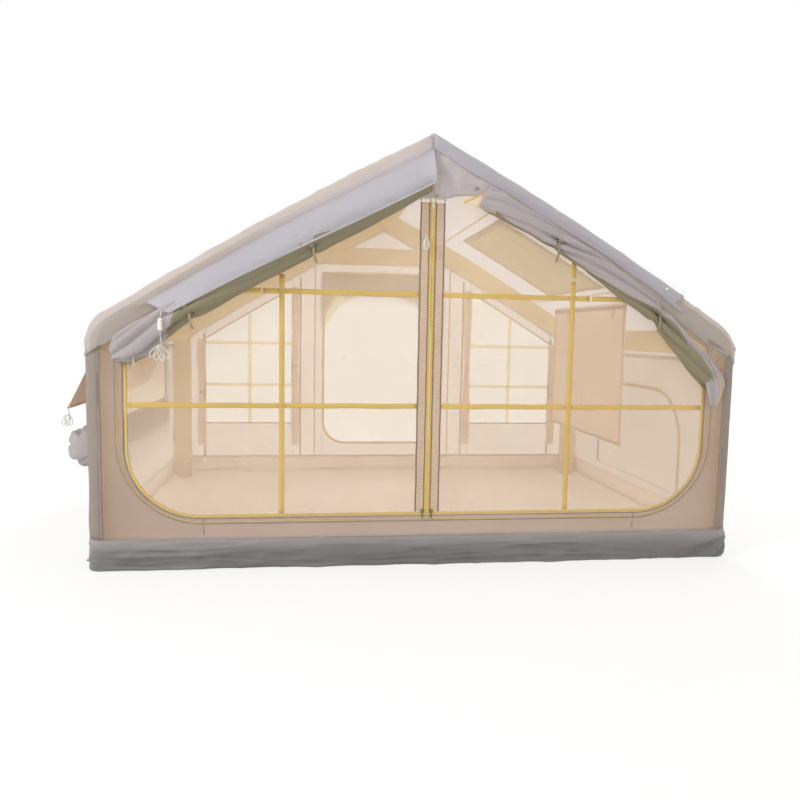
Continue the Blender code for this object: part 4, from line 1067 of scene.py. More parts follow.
def makeRoofCover(side):
    made = bmesh.new()
    alongs = sorted(set(spread(0, roofEnd, 74) + [skylight["top"], skylight["bottom"]]))
    rows = []
    for along in alongs:
        profile = coverProfile(fasciaReach(-1, along), house["fascia"], lambda y: roofSag(along, y))
        row = []
        for inset, y in profile:
            start = along
            if along < 0.3:  # both covers meet in the middle plane
                start = along + (1 - along / 0.3) * inset * tan(slope)
            row.append(onRafter(side, start, inset, y))
        rows.append(row)
    for k in range(1, 9):
        angle = turn * (1 - k / 8)
        straight = house["eaveBend"] - (house["eaveBend"] - house["fascia"]) / cos(turn - angle)
        profile = coverProfile(straight, straight, lambda y: 0.0)
        rows.append([onBend(side, angle, inset, y) for inset, y in profile])
    profile = coverProfile(corner + 0.0025, corner + 0.0025, lambda y: 0.0)
    for share in (0.5, 1.0):
        row = []
        for inset, y in profile:
            bottom = seamHeight(inset)
            row.append(onWall(side, inset, y, bendZ + (bottom - bendZ) * share))
        rows.append(row)
    front = -halfDepth + 0.010
    lines = [[made.verts.new(point) for point in row] for row in rows]
    for j, (near, far) in enumerate(zip(lines, lines[1:])):
        for k in range(len(near) - 1):
            if side > 0 and j + 1 < len(alongs):
                middle = (near[k].co + far[k + 1].co) / 2
                lowest = onRafter(1, alongs[j + 1], 0.05, 0).z  # the fascias stay whole
                if middle.z > lowest and inSkylight((alongs[j] + alongs[j + 1]) / 2, middle.y):
                    continue
            face = made.faces.new((near[k], near[k + 1], far[k + 1], far[k]))
            # faces in the front gable take the fascia cloth, a copy of the roof cloth with painted shade
            # towards the eaves
            face.material_index = 1 if max(near[k].co.y, near[k + 1].co.y, far[k].co.y) < front else 0

    def mask(point):
        front = smooth((-point.y - beamY) / 0.03)
        nearApex = bump(point.x, 0, 0.28) if side > 0 else 0.2
        seam = smooth(abs(point.x) / 0.02)
        return (seam * (0.35 + 0.65 * front * (0.25 + nearApex) + 0.5 * bump(point.z, bendZ, 0.06)
            * smooth((abs(point.y) - 0.95) / 0.05)))

    folds = [((5, 3.5, 5), 0.0050, 1.3 + side), ((4, 9, 12), 0.0095, 6.8 + 2 * side, 7),
        ((22, 12, 8), 0.0044, 3.9 + side, 5)]
    sewSheet(sideName(side) + "RoofCover", made, ["roofCloth", "fasciaCloth", "roofLining", "roofLining"],
        "house",
        nodes=[sideName(side) + "_roof_cover"], folds=folds, mask=mask,
        away=lambda point: point - at(0, 0, 0.9), thick=0.0014)


for side in (-1, 1):
    makeRoofCover(side)
print("roof covers sewn")

# Mesh doors, cut to the doorway's rounded corners and to the roof line
doors = {
    "edge": 0.0163,
    "gap": 0.0003,
    "column": 0.056,
    "zipHalf": 0.012,
    "upright": 0.66,
    "webbing": 0.023,
    "levels": (0.735, 1.237),
    "billow": 0.008,
    "cut": (0.0022, 0.050),
    "meshY": -1.0486,
    "tapeY": -1.0502,
}
doorHalf = doorway["half"] - doors["edge"]
doorBottom = doorway["bottom"] + doors["edge"]
doorCorner = doorway["corner"] - doors["edge"]


def doorFoot(x):
    over = x - (doorHalf - doorCorner)
    if over <= 0:
        return doorBottom
    return doorBottom + doorCorner - sqrt(max(doorCorner**2 - over**2, 0))


def doorTop(x):
    return underRoof(x, doorHingeInset)


def doorBillow(x, z):
    # the mesh swells inward between its tapes
    bars = [x - doors["column"] * 0.5, doors["upright"] - x, doorHalf - x, z - doorFoot(x), doorTop(x) - z]
    near = min([abs(bar) for bar in bars] + [abs(z - level) for level in doors["levels"]])
    drift = 0.75 + 0.5 * waver(x * 3, z * 3, 1.7)
    return doors["billow"] * smooth(near / 0.22) * drift


def makeMeshDoor(side):
    made = bmesh.new()
    bars = [0.0, doors["upright"], doorHalf]
    columns = spread(doors["gap"] + 0.0022, bars[1], 32) + spread(bars[1], bars[2], 40)[1:]
    rows = []
    for share in spread(0, 1, 64):
        row = []
        for x in columns:
            z = doorFoot(x) + (doorTop(x) - doorFoot(x)) * share
            row.append(at(side * x, doors["meshY"] + doorBillow(x, z), z))
        rows.append(row)
    addGrid(made, rows)
    name = sideName(side)

    def mask(point):
        return 1.0 if doorBillow(abs(point.x), point.z) > 0.002 else 0.0

    folds = [((9, 1, 2.2), 0.0012, 3.3 + side)]
    sewSheet(name + "MeshDoor", made, ["doorMesh"], name + "_mesh_door",
        nodes=[name + "_mesh_door"], folds=folds,
        mask=mask, away=(0, -1, 0), thick=0)


def makeDoorWebbing(side):
    name = sideName(side)
    body = name + "_mesh_door"
    made = bmesh.new()
    half = doors["webbing"] / 2
    y = doors["tapeY"]
    x = doors["upright"]
    upright = [at(side * x, y - 0.0002, z) for z in spread(doorFoot(x) + 0.001, doorTop(x + half) - 0.001, 40)]
    strap(made, upright, xWay, doors["webbing"], 0.0013)
    for level in doors["levels"]:
        end = min(doorHalf - 0.001, (house["ridge"] - level - half - doorHingeInset / cos(slope)) / tan(slope))
        bar = [at(side * u, y, level + 0.0008 * sin(23 * u)) for u in spread(doors["column"] - 0.004, end, 50)]
        strap(made, bar, zWay, doors["webbing"], 0.0012)
        for u in (doors["column"] + 0.004, x - half - 0.005, x + half + 0.005, end - 0.012):
            for lean in (-1, 1):  # crossed stitches where tapes are sewn down
                stitch = [at(side * u - 0.005, y - 0.001, level - lean * 0.006)]
                stitch.append(at(side * u + 0.005, y - 0.001, level + lean * 0.006))
                strap(made, stitch, zWay, 0.0012, 0.0006, 1)
    # the zip's own tape, with half of its coil
    top = doorTop(doors["zipHalf"]) - 0.002
    for middle, wide, thick, look, lean in ((0.0065, 0.0118, 0.0012, 0, 0.0),
            (0.0026, 0.0030, 0.0026, 2, 0.0011)):
        run = []
        for z in spread(doorBottom + 0.001, top, 120):
            cut = doors["cut"][0] * smooth((z - top + doors["cut"][1]) / doors["cut"][1])
            run.append(at(side * (middle + cut + 0.0002), y - 0.0002, z))
        strap(made, run, xWay, wide, thick, look)
    place(name + "DoorWebbing", made, ["yellowWebbing", "brownBinding", "zipCoil"], body,
        [name + "_door_webbing"])
    # puckered cloth beside the zip, bound at both edges
    made = bmesh.new()
    rows = []
    for z in spread(doorBottom + 0.001, doorTop(doors["column"]) - 0.002, 420):
        pull = 0.5 + 0.5 * waver(0.3, side * 2.0, z * 4)
        row = []
        for u in spread(0.0132, doors["column"] - 0.002, 8):
            share = (u - 0.0132) / (doors["column"] - 0.0152)
            wave = sin(2 * pi * z / 0.0115 + 2.2 * waver(u * 30, 0.4, z * 26)) * sin(pi * share)
            row.append(at(side * u, y + 0.0010 - 0.0019 * wave * (0.4 + pull), z))
        rows.append(row)
    addGrid(made, rows)
    sewSheet(name + "CentreTape", made, ["columnCloth"], body,
        away=(0, -1, 0), thick=0)
    made = bmesh.new()
    for u, wide in ((0.0150, 0.0058), (doors["column"] - 0.003, 0.0064)):
        run = [at(side * (u + 0.0006 * sin(z * 31 + u * 90)), y - 0.0004, z)
            for z in spread(doorBottom + 0.001, doorTop(doors["column"]) - 0.002, 90)]
        strap(made, run, xWay, wide, 0.0014)
    place(name + "CentreBinding", made, ["brownBinding"], body)


def makeHeader(side):
    # the mesh goes on above the doors' hinge line, up under the rolled door
    name = sideName(side)
    rows = []
    low, high = doorway["clothEnd"][side], doorHingeInset
    for inset in spread(low - 0.004, high - 0.0008, 8):
        start, end = inset * tan(slope), (doorway["half"] + inset * sin(slope)) / cos(slope)
        rows.append([onRafter(side, along, inset, doors["meshY"] + 0.0004) for along in spread(start, end, 90)])
    made = bmesh.new()
    addGrid(made, rows)
    folds = [((9, 1, 5), 0.0008, 3.9 + side)]
    sewSheet(name + "HeaderMesh", made, ["doorMesh"], "house",
        folds=folds, away=(0, -1, 0), thick=0)
    made = bmesh.new()
    half, y = doors["webbing"] / 2, doors["tapeY"]
    x = doors["upright"]
    tops = (underRoof(x + half, low - 0.004), underRoof(x - half, doorHingeInset - 0.004))
    strap(made, [at(side * x, y, z) for z in spread(tops[1], tops[0], 8)], xWay, doors["webbing"], 0.0013)
    level = doors["levels"][1]
    for near, wide, thick, look, lift in ((0.0132, doors["column"] - 0.0152, 0.0012, 1, 0),
            (0.0007, 0.0118, 0.0012, 0, 0.0002)):
        tops = (doorTop(near) + 0.0025, underRoof(near, doorHingeInset - 0.010))
        run = [at(side * (near + wide / 2), y + 0.0008 - lift, z) for z in spread(tops[0], tops[1], 40)]
        strap(made, run, xWay, wide, thick, look)
    for middle in (0.0150, doors["column"] - 0.003):
        run = [at(side * middle, y + 0.0006, z) for z in spread(doorTop(middle) + 0.0025,
            underRoof(middle, doorHingeInset - 0.010), 20)]
        strap(made, run, xWay, 0.0060, 0.0014, 2)
    reach = [(house["ridge"] - level - half - inset / cos(slope)) / tan(slope)
        for inset in (doorHingeInset, low - 0.004)]
    strap(made, [at(side * u, y, level) for u in spread(reach[0] + 0.010, reach[1], 8)], zWay, doors["webbing"],
        0.0012)
    place(name + "HeaderWebbing", made, ["yellowWebbing", "columnCloth", "brownBinding"], "house")


def alongGable(made, path, y, width, thick, material=0, shift=0.0):
    # a band that follows a path in the front wall's plane
    sides = pathSides(path)
    points = [at(u + du * shift, y, v + dv * shift) for (u, v), (du, dv) in zip(path, sides)]
    strap(made, points, [at(du, 0, dv) for du, dv in sides], width, thick, material)


zips = {
    "tape": (-1.0496, 0.0130), "coil": (-1.0503, 0.0040), "piping": (-1.0504, 0.0034),  # plane and width
    "storm": (-1.0512, 0.0046), "stormBinding": (-1.0516, 0.0068), "tack": (-1.0518, 0.0052),
    "stormPath": (1.3655, 0.2095, 0.3655, 0.93), "tacks": ((0.2015, 0.2305), (0.1560, 0.1900)),
}


def makeZips():
    top = underRoof(doorway["half"], doorHingeInset) - 0.002
    path = uPath(doorway["half"], doorway["bottom"], doorway["corner"], top, 24, 26, 90)
    made = bmesh.new()
    alongGable(made, path, *zips["tape"], 0.0014, 0, -0.0090)
    alongGable(made, path, *zips["coil"], 0.0026, 1, -0.0100)
    place("innerZip", made, ["yellowWebbing", "zipCoil"], "house", ["inner_zip_track"])
    made = bmesh.new()
    alongGable(made, path, *zips["piping"], 0.0022, 0, 0.0022)
    place("doorPiping", made, ["brownBinding"], "house")
    storm = uPath(*zips["stormPath"], 20, 26, 90)
    made = bmesh.new()
    alongGable(made, storm, *zips["storm"], 0.0016, 0, -0.0034)
    alongGable(made, storm, *zips["stormBinding"], 0.0022, 1, 0.0026)
    for side in (-1, 1):  # bar tacks that hold the sill
        for low, high in zips["tacks"]:
            tack = [at(side * 1.0, zips["tack"][0], z) for z in spread(low, high, 4)]
            strap(made, tack, xWay, zips["tack"][1], 0.0022, 1)
    place("stormZip", made, ["yellowWebbing", "greyBinding"], "house", ["outer_zip_track"])


def ringBar(made, middle, radius, thick, stretch, turns):
    # a closed wire ring
    rings = []
    for angle in roundTurn(turns):
        out = at(cos(angle), 0, sin(angle) * stretch)
        centre = middle + out * radius
        unit = out.normalized()
        rings.append([centre + unit * thick * cos(a) + yWay * thick * sin(a) for a in roundTurn(6)])
    solidLoft(made, rings, closed=True)


def makeSlider(name, node, x, top, look):
    back = -1.0513
    made = bmesh.new()
    block(made, (x - 0.0095, back - 0.0012, top - 0.018), (x + 0.0095, back - 0.0001, top - 0.001), 0, 0.0005)
    block(made, (x - 0.0080, back - 0.0030, top - 0.0165), (x + 0.0080, back - 0.0016, top - 0.0015), 0, 0.0005)
    block(made, (x - 0.0022, back - 0.0020, top - 0.0050), (x + 0.0022, back - 0.0010, top - 0.0020), 0, 0.0003)
    for low, high in ((0.0045, 0.0065), (0.0135, 0.0155)):
        block(made, (x - 0.0016, back - 0.0039, top - high), (x + 0.0016, back - 0.0026, top - low), 0, 0.0003)
    block(made, (x - 0.0016, back - 0.0040, top - 0.0150), (x + 0.0016, back - 0.0032, top - 0.0050), 0, 0.0003)
    pull = [(0.0060, 0.0024), (0.0105, 0.0030), (0.0135, 0.0044), (0.0290, 0.0048), (0.0400, 0.0042),
        (0.0425, 0.0026)]
    rings = []
    for down, half in pull:
        y, z = back - 0.0021, top - down - 0.0008
        half *= 0.98
        outline = [(-half, 0.0006), (-half * 0.8, 0.0011), (0, 0.0013), (half * 0.8, 0.0011), (half, 0.0006)]
        outline += [(half * 0.8, -0.0007), (0, -0.0008), (-half * 0.8, -0.0007)]
        rings.append([at(x + u, y - v - 0.0010, z) for u, v in outline])
    solidLoft(made, rings, 1)
    ringBar(made, at(x, back - 0.0031, top - 0.0355), 0.0030, 0.0005, 0.8, 16)
    evenNormals(made)
    place(name, made, [look, look], node, [node])


for side in (-1, 1):
    makeMeshDoor(side)
    makeDoorWebbing(side)
    makeHeader(side)
makeZips()
centreTop = house["ridge"] - 0.020 * tan(slope) - doorHingeInset / cos(slope) - clearance
makeSlider("centreSlider", "centre_zip_slider", 0, centreTop, "creamPlastic")
for side in (-1, 1):
    name = sideName(side)
    low = 0.204 + 0.012 + 2 * clearance + 0.044
    makeSlider(name + "InnerSlider", name + "_inner_slider", side * 0.020, low, "oliveMetal")
print("doors, zips and sliders made")

# Rolled doors under the rafters, each held by two ties
rolls = {
    "ties": (0.733, 1.320),
    "left": {"twist": 1.3, "creases": (0.4, 1.5, 2.3, 3.3, 4.4, 5.3), "depth": 0.15, "wander": 0.7},
    "right": {"twist": 4.4, "creases": (0.2, 1.5, 2.7, 3.9, 5.2), "depth": 0.42, "wander": 0.9},
    "sides": 112,
    "step": 0.007,
    "pinch": {"left": (0.10, 0.16), "right": (0.18, 0.44)},
}


def rollPoint(side, along, angle, grow=0.0, smoothed=False):
    inset, wide, deep = rollSection(side, along)
    name = sideName(side)
    look = rolls[name]
    size = 1.0
    if not smoothed:
        wander = look["wander"] * waver(along * 2.2, side * 3.0, 0.5)
        turned = (angle + look["twist"] * along + wander) % (2 * pi)
        tied = max(bump(along, tie, 0.075) for tie in rolls["ties"])
        for k, crease in enumerate(look["creases"]):
            run = waver(along * 3.1, k * 4.7, side * 1.3)
            gap = abs((turned - crease - 0.35 * run + pi) % (2 * pi) - pi)
            deepness = look["depth"] * (0.55 + 0.45 * run + 0.7 * tied)
            if side < 0:
                deepness *= 1 + 2.2 * smooth((along - 1.32) / 0.12)
            size -= deepness * exp(-((gap / 0.17) ** 2)) - 0.4 * deepness * exp(-(((gap - 0.46) / 0.24) ** 2))
        size += 0.05 * waver(along * 9, cos(angle) * 1.6, sin(angle) * 1.6)
        for tie, pinch in zip(rolls["ties"], rolls["pinch"][name]):
            size -= pinch * bump(along, tie, 0.022 if side < 0 else 0.030)
    centre = onRafter(side, along, inset, -halfDepth - proud - deep)
    out = -inward[side] * cos(angle) * (wide * size + grow)
    point = centre + out + at(0, -sin(angle) * (deep * size + grow), 0)
    point.y = min(point.y, -halfDepth - proud)
    return point


def makeRoll(side):
    shares = leftRollShares if side < 0 else rightRollShares
    start, end = shares[0][0] * roofLength, shares[-1][0] * roofLength
    name = sideName(side)
    made = bmesh.new()
    stops = spread(start, end, int((end - start) / rolls["step"]))
    rings = [[rollPoint(side, along, angle) for angle in roundTurn(rolls["sides"])] for along in stops]
    for ring, shrink in ((rings[0], 0), (rings[-1], 1)):
        middle = sum(ring, Vector()) / len(ring)
        shift = downhill[side] * (0.012 if shrink else -0.012)
        inner = [[point.lerp(middle + shift, share) for point in ring] for share in (0.35, 0.7, 0.96)]
        rings = rings + inner if shrink else inner[::-1] + rings
    solidLoft(made, rings)
    evenNormals(made)
    for face in made.faces:
        # the olive inner side shows along the underside; the band is also painted shade, and on the right roll
        # it widens towards the lower end
        spot = face.calc_center_median()
        along = side * downhill[side].x * spot.x * side + downhill[side].z * (spot.z - house["ridge"])
        inset, wide, deep = rollSection(side, along)
        gap = spot - onRafter(side, along, inset, -halfDepth - proud - deep)
        angle = atan2(-gap.y / deep, -gap.dot(inward[side]) / wide) % (2 * pi)
        drift = 0.25 * waver(along * 4.2, side * 5.0, 2.2)
        edge = (1.25 + 1.6 * smooth((along - 1.33) / 0.14) if side < 0
            else 2.75 - 1.45 * smooth((along - 0.9) / 0.5))
        face.material_index = 1 if edge + drift < angle < 5.0 else 0
    piece = place(name + "DoorRoll", made, ["rollCloth", "oliveCloth"], "house", [name + "_door_roll"])


def makeTie(side, which):
    name = sideName(side)
    along = rolls["ties"][which]
    label = ("upper", "lower")[which]
    grow = 0.0012
    made = bmesh.new()
    ring = []
    for angle in roundTurn(48):
        across = [rollPoint(side, along + u, angle, grow + lift - 0.0006, smoothed=True)
            for u, lift in ((-0.011, 0.0), (-0.0105, 0.0012), (0.0, 0.0015), (0.0105, 0.0012), (0.011, 0.0))]
        for u in (0.0105, 0.0, -0.0105):
            across.append(rollPoint(side, along + u, angle, grow - 0.0012, smoothed=True))
        ring.append(across)
    pinch = rolls["pinch"][name][which] * 0.75
    inset, wide, deep = rollSection(side, along)
    centre = onRafter(side, along, inset, -halfDepth - proud - deep)
    ring = [[point.lerp(centre + downhill[side] * downhill[side].dot(point - centre), pinch) for point in row]
        for row in ring]
    solidLoft(made, ring, closed=True)
    # the buckle sits low on the front, its strap end hangs free
    angle = radians(128 if side < 0 else 118)
    seat = rollPoint(side, along, angle, 0.003, smoothed=True).lerp(centre, pinch)
    for low, high in (((-0.012, -0.004, 0.008), (0.012, 0.0005, 0.011)),
            ((-0.012, -0.004, -0.011), (0.012, 0.0005, -0.008))):
        block(made, seat + Vector(low), seat + Vector(high), 1, 0.0008)
    for low in (-0.012, 0.0092):
        block(made, seat + at(low, -0.004, -0.010), seat + at(low + 0.0028, 0.0005, 0.010), 1, 0.0008)
    block(made, seat + at(-0.011, -0.0048, -0.0018), seat + at(0.011, -0.0018, 0.0018), 1, 0.0006)
    hang = []
    long = 0.088 if (side, which) == (1, 0) else 0.066
    for share in spread(0, 1, 12):
        hang.append(seat + at(-0.014 * side * share**2, -0.0035 - 0.007 * sin(2.4 * share),
            0.006 - long * share))
    strap(made, hang, at(1, 0.15 * side, 0), 0.0115, 0.0014)
    curl = [hang[-1], hang[-1] + at(0, -0.004, -0.001), hang[-1] + at(0, -0.006, 0.004)]
    strap(made, curl, at(1, 0.15 * side, 0), 0.0115, 0.0016)
    evenNormals(made)
    place(f"{name}{label.capitalize()}Tie", made, ["tieTape", "darkPlastic"], "house",
        [f"{name}_roll_tie_{label}"])


for side in (-1, 1):
    makeRoll(side)
    for which in (0, 1):
        makeTie(side, which)
print("rolls tied up")

# Rain flaps: the left one hangs over its roll, the right one is folded back over the roof
flaps = {
    "apexTurn": 28,
    "endTurn": -16,
    "endTop": 1.46,
    "endLow": 1.39,
    "arc": 14,
    "folded": 1.42,
    "foldedBack": 0.05,
}


def flapProfile(along, grow):
    inset, wide, deep = rollSection(-1, max(along, leftRollShares[0][0] * roofLength))
    wide, deep = wide + proud + clearance + grow, deep + proud + clearance + grow
    middle = -halfDepth - proud - rollSection(-1, along)[2]
    start = (corner, -halfDepth - clearance - grow)
    u, v = (start[0] - inset) / wide, (start[1] - middle) / deep
    touch = atan2(v, u) + acos(1 / hypot(u, v))
    wrap = flaps["apexTurn"] + (flaps["endTurn"] - flaps["apexTurn"]) * along / flaps["endLow"]
    last = 1.5 * pi + radians(wrap)
    points = [start, (start[0] + 0.3 * (inset + wide * cos(touch) - start[0]),
        start[1] + 0.3 * (middle + deep * sin(touch) - start[1]))]
    for k in range(flaps["arc"] + 1):
        angle = touch + (last - touch) * k / flaps["arc"]
        points.append((inset + wide * cos(angle), middle + deep * sin(angle)))
    return points


def makeLeftFlap():
    made = bmesh.new()
    rows = []
    for along in spread(0.0, flaps["endLow"], 96):
        outline = flapProfile(along, 0.0018)
        drop = max(inset for inset, _ in outline)
        row = []
        for inset, y in outline:
            down = along
            if along < 0.12:  # cut upright at the middle
                upright = (inset * sin(slope) + 0.0008) / cos(slope)
                down = upright + along * (1 - upright / 0.12) if upright < 0.12 else upright + along * 0.02
            over = smooth((along - flaps["endLow"] + 0.10) / 0.10)
            down += (flaps["endTop"] - flaps["endLow"]) * over * (drop - inset) / (drop - corner)
            row.append(onRafter(-1, down, inset, y))
        rows.append(row)
    addGrid(made, rows)

    def mask(point):
        return smooth((-point.y - 1.06) / 0.03)

    folds = [((4, 5, 7), 0.0050, 2.9), ((6, 6, 16), 0.0050, 7.5, 8)]
    for vertex in made.verts:
        vertex.co.y -= 0.0022
    sewSheet("leftRainFlap", made, ["roofCloth"], "left_rain_flap",
        nodes=["left_rain_flap"], folds=folds, mask=mask, away=(-0.3, -1, 0.4), thick=0.0014)
    # hem along the lower edge
    made = bmesh.new()
    points = [row[-1] + at(0, -0.0028, 0) for row in rows[4:]]
    strap(made, points, [(-inward[-1] + at(0, -0.6, 0)) for _ in points], 0.010, 0.0022)
    place("leftRainFlapHem", made, ["roofHem"], "left_rain_flap")


def makeRightFlap():
    made = bmesh.new()
    radius = corner + 0.0020
    rows = []
    for along in spread(0.0, flaps["folded"], 110):
        lift = 0.004 * waver(along * 4, 0.2, 3.3) + 0.0035
        lip = 0.006 + 0.006 * waver(along * 6, 4.2, 1.3) + 0.010 * bump(along, flaps["folded"], 0.12)
        row = [onRafter(1, max(along, 0.045), corner + lip * down, -halfDepth - 0.0026 - 0.002 * down)
            for down in (1.0, 0.5)]
        for k in range(15):
            angle = pi / 2 * k / 14
            swell = lift * sin(2 * angle)
            inset, y = corner - (radius + swell) * sin(angle), -beamY - (radius + swell) * cos(angle)
            start = max(along, (inset * sin(slope) + 0.0008) / cos(slope)) if along < 0.1 else along
            row.append(onRafter(1, start + 0.05 * (1 - k / 14) * smooth((along - 1.2) / 0.22) * -1, inset, y))
        for back in spread(0, flaps["foldedBack"], 5)[1:]:
            ragged = back * (1 + 0.25 * waver(along * 5, 1.0, 7.7))
            row.append(onRafter(1, max(along, 0.0008), corner - radius - 0.0006, ragged - beamY))
        rows.append(row)
    addGrid(made, rows)
    folds = [((4, 14, 4), 0.0040, 5.9), ((6, 18, 9), 0.0060, 12.5, 7)]
    for vertex in made.verts:
        vertex.co -= inward[1] * 0.0022
        vertex.co.y -= 0.0034
    sewSheet("rightRainFlap", made, ["roofCloth"], "right_rain_flap",
        nodes=["right_rain_flap"], folds=folds, mask=lambda point: 0.5,
        away=(0.3, -0.7, 0.7), thick=0.0014)
    # snap, and two small buckle loops at the folded end
    made = bmesh.new()
    end = onRafter(1, 1.300, 0.030, -halfDepth - 0.004)
    rings = [[end + at(size * cos(a), -out, size * sin(a)) for a in roundTurn(20)]
        for out, size in ((0.000, 0.0062), (0.0016, 0.0064), (0.0026, 0.0052), (0.0028, 0.0034),
        (0.0022, 0.0030), (0.0022, 0.0004))]
    solidLoft(made, rings)
    for along, lean in ((1.335, 0.2), (1.392, -0.3)):
        seat = onRafter(1, along, -0.004, -beamY - 0.030)
        loop = [seat + downhill[1] * 0.010 * cos(a) - inward[1] * (0.009 + 0.009 * sin(a))
            + at(0, lean * 0.01 * sin(a), 0) for a in spread(0.1, 2 * pi + 0.1, 20)[:-1]]
        tubeRing(made, loop, 0.0012)
    evenNormals(made)
    place("rightFlapFittings", made, ["creamPlastic"], "right_rain_flap")


def tubeRing(made, loop, radius, sides=8):
    # a wire bent into a closed loop
    rings = []
    middle = sum(loop, Vector()) / len(loop)
    for k, point in enumerate(loop):
        ahead = (loop[(k + 1) % len(loop)] - loop[k - 1]).normalized()
        out = (point - middle) - ahead * (point - middle).dot(ahead)
        out.normalize()
        up = ahead.cross(out)
        rings.append([point + out * radius * cos(a) + up * radius * sin(a) for a in roundTurn(sides)])
    solidLoft(made, rings, closed=True)


def makeDoorCorners():
    # right door: the corner that is turned out near the apex, and the tail at the roll's lower end
    made = bmesh.new()
    first, second, third = at(0.134, -1.070, 1.641), at(0.262, -1.098, 1.700), at(0.272, -1.116, 1.592)
    rows = []
    for v in spread(0, 1, 18):
        row = []
        for u in spread(0, 1, 18):
            point = first.lerp(second.lerp(third, v), u)
            point.y -= 0.010 * sin(pi * u) * sin(pi * v) + 0.004 * noise.noise(point * 22)
            row.append(point)
        rows.append(row)
    addGrid(made, rows)
    sewSheet("rightDoorCorner", made, ["cornerLining"], "house",
        away=(0, -1, 0))
    made = bmesh.new()
    edge = [first.lerp(second, share) + at(0, -0.002, 0.001) for share in spread(0, 1, 14)]
    strap(made, edge, at(-0.43, 0, 0.9), 0.009, 0.0022)
    place("rightDoorCornerEdge", made, ["yellowWebbing"], "house")
    made = bmesh.new()
    left = [at(1.262, -1.092, 1.000), at(1.276, -1.110, 0.920), at(1.300, -1.112, 0.840),
        at(1.330, -1.104, 0.752)]
    right = [at(1.300, -1.088, 1.010), at(1.366, -1.092, 0.930), at(1.412, -1.090, 0.856),
        at(1.384, -1.084, 0.748)]
    rows = []
    for share in spread(0, 1, 40):
        near, far = alongCurve(left, share), alongCurve(right, share)
        row = []
        for u in spread(0, 1, 26):
            point = near.lerp(far, u)
            pleat = sin(pi * u) * 0.012 + 0.007 * sin(3 * pi * u + 1.2 * share) * smooth(share / 0.3)
            row.append(point + at(0, -pleat, 0.004 * noise.noise(point * 14)))
        rows.append(row)
    addGrid(made, rows)
    # the tail's inner face takes the olive cloth, darkened as painted shade
    sewSheet("rightDoorTail", made, ["rollCloth", "oliveCloth"], "house",
        folds=[((10, 10, 6), 0.003, 4.4)], away=(0, -1, 0))
    made = bmesh.new()
    line = [row[17] + at(0, -0.0032, 0) for row in rows[18:39]]
    strap(made, line, at(1, 0, 0.3), 0.0055, 0.0016)
    place("rightDoorTailEdge", made, ["yellowWebbing"], "house")
    # left door: its last folds spread beyond the lower tie, with a pale strap end
    made = bmesh.new()
    rows = []
    left = [onRafter(-1, 1.50, 0.150, -1.105), onRafter(-1, 1.58, 0.150, -1.100),
        onRafter(-1, 1.66, 0.165, -1.085), onRafter(-1, 1.70, 0.190, -1.068)]
    right = [onRafter(-1, 1.50, 0.235, -1.112), onRafter(-1, 1.58, 0.250, -1.104),
        onRafter(-1, 1.64, 0.255, -1.090), onRafter(-1, 1.675, 0.235, -1.070)]
    for share in spread(0, 1, 36):
        near, far = alongCurve(left, share), alongCurve(right, share)
        row = []
        for u in spread(0, 1, 24):
            point = near.lerp(far, u)
            pleat = (0.012 * sin(pi * u) + 0.013 * (abs(sin(2.6 * pi * u + 2.2 * share)) ** 0.6 - 0.6)
                * smooth(share / 0.2))
            row.append(point + at(0, -pleat, 0))
        rows.append(row)
    addGrid(made, rows)
    # the tail's inner face takes the olive cloth, darkened as painted shade
    sewSheet("leftDoorTail", made, ["rollCloth", "oliveCloth"], "house",
        folds=[((12, 8, 12), 0.005, 9.4, 4)], away=(0, -1, 0))
    made = bmesh.new()
    start = onRafter(-1, 1.60, 0.235, -1.118)
    line = [start + at(0.0, -0.002 * sin(3 * share), -0.052 * share) for share in spread(0, 1, 10)]
    strap(made, line, at(0.8, 0, 0.4), 0.011, 0.0016)
    place("leftTailStrap", made, ["paleWebbing"], "house")


def alongCurve(points, share):
    # an even curve through control points
    share = min(max(share, 0), 1) * (len(points) - 1)
    k = min(int(share), len(points) - 2)
    t = share - k
    a, b, c, d = points[max(k - 1, 0)], points[k], points[k + 1], points[min(k + 2, len(points) - 1)]
    return 0.5 * ((2 * b) + (c - a) * t + (2 * a - 5 * b + 4 * c - d) * t * t + (3 * b - a - 3 * c + d) * t**3)


def makeToggle():
    y, top = toggleAxis()
    made = bmesh.new()
    shape = ((0, 0.30), (0.01, 0.45), (0.06, 0.78), (0.12, 0.95), (0.16, 1.0), (0.20, 0.92), (0.24, 0.86),
        (0.5, 0.90), (0.76, 0.86), (0.80, 0.92), (0.84, 1.0), (0.88, 0.95), (0.94, 0.78), (0.99, 0.45),
        (1.0, 0.30))
    rings = []
    for down, size in shape:
        centre = at(-toggle["reach"], y, top - down * toggle["length"])
        radius = size * toggle["radius"]
        rings.append([centre + at(radius * cos(a), -radius * sin(a), 0) for a in roundTurn(32)])
    solidLoft(made, rings)
    hole = at(-toggle["reach"], y - toggle["radius"] * 0.90, top - toggle["length"] * 0.36)
    ringBar(made, hole, 0.0024, 0.0007, 1.0, 18)
    evenNormals(made)
    place("leftToggle", made, ["creamPlastic"], "house", ["left_toggle"])
    made = bmesh.new()
    upper = at(-toggle["reach"], y, top + 0.0002)
    tubeAlong(made, refine([upper, upper + at(0.002, 0.004, 0.014), upper + at(0.004, 0.014, 0.030)], 0.002),
        0.0018, 8)
    place("toggleLoop", made, ["whiteRope"], "house")


makeLeftFlap()
makeRightFlap()
makeDoorCorners()
makeToggle()
print("rain flaps and door ends made")

# Air beams: padded fabric sleeves, each with a film bladder inside
beams = {
    "radius": 0.0622,
    "film": 0.0595,
    "foot": 0.0035,
    "sides": 28,
    "endY": 0.9219,
    "collar": 1.61,
    "crease": 0.0035,
}


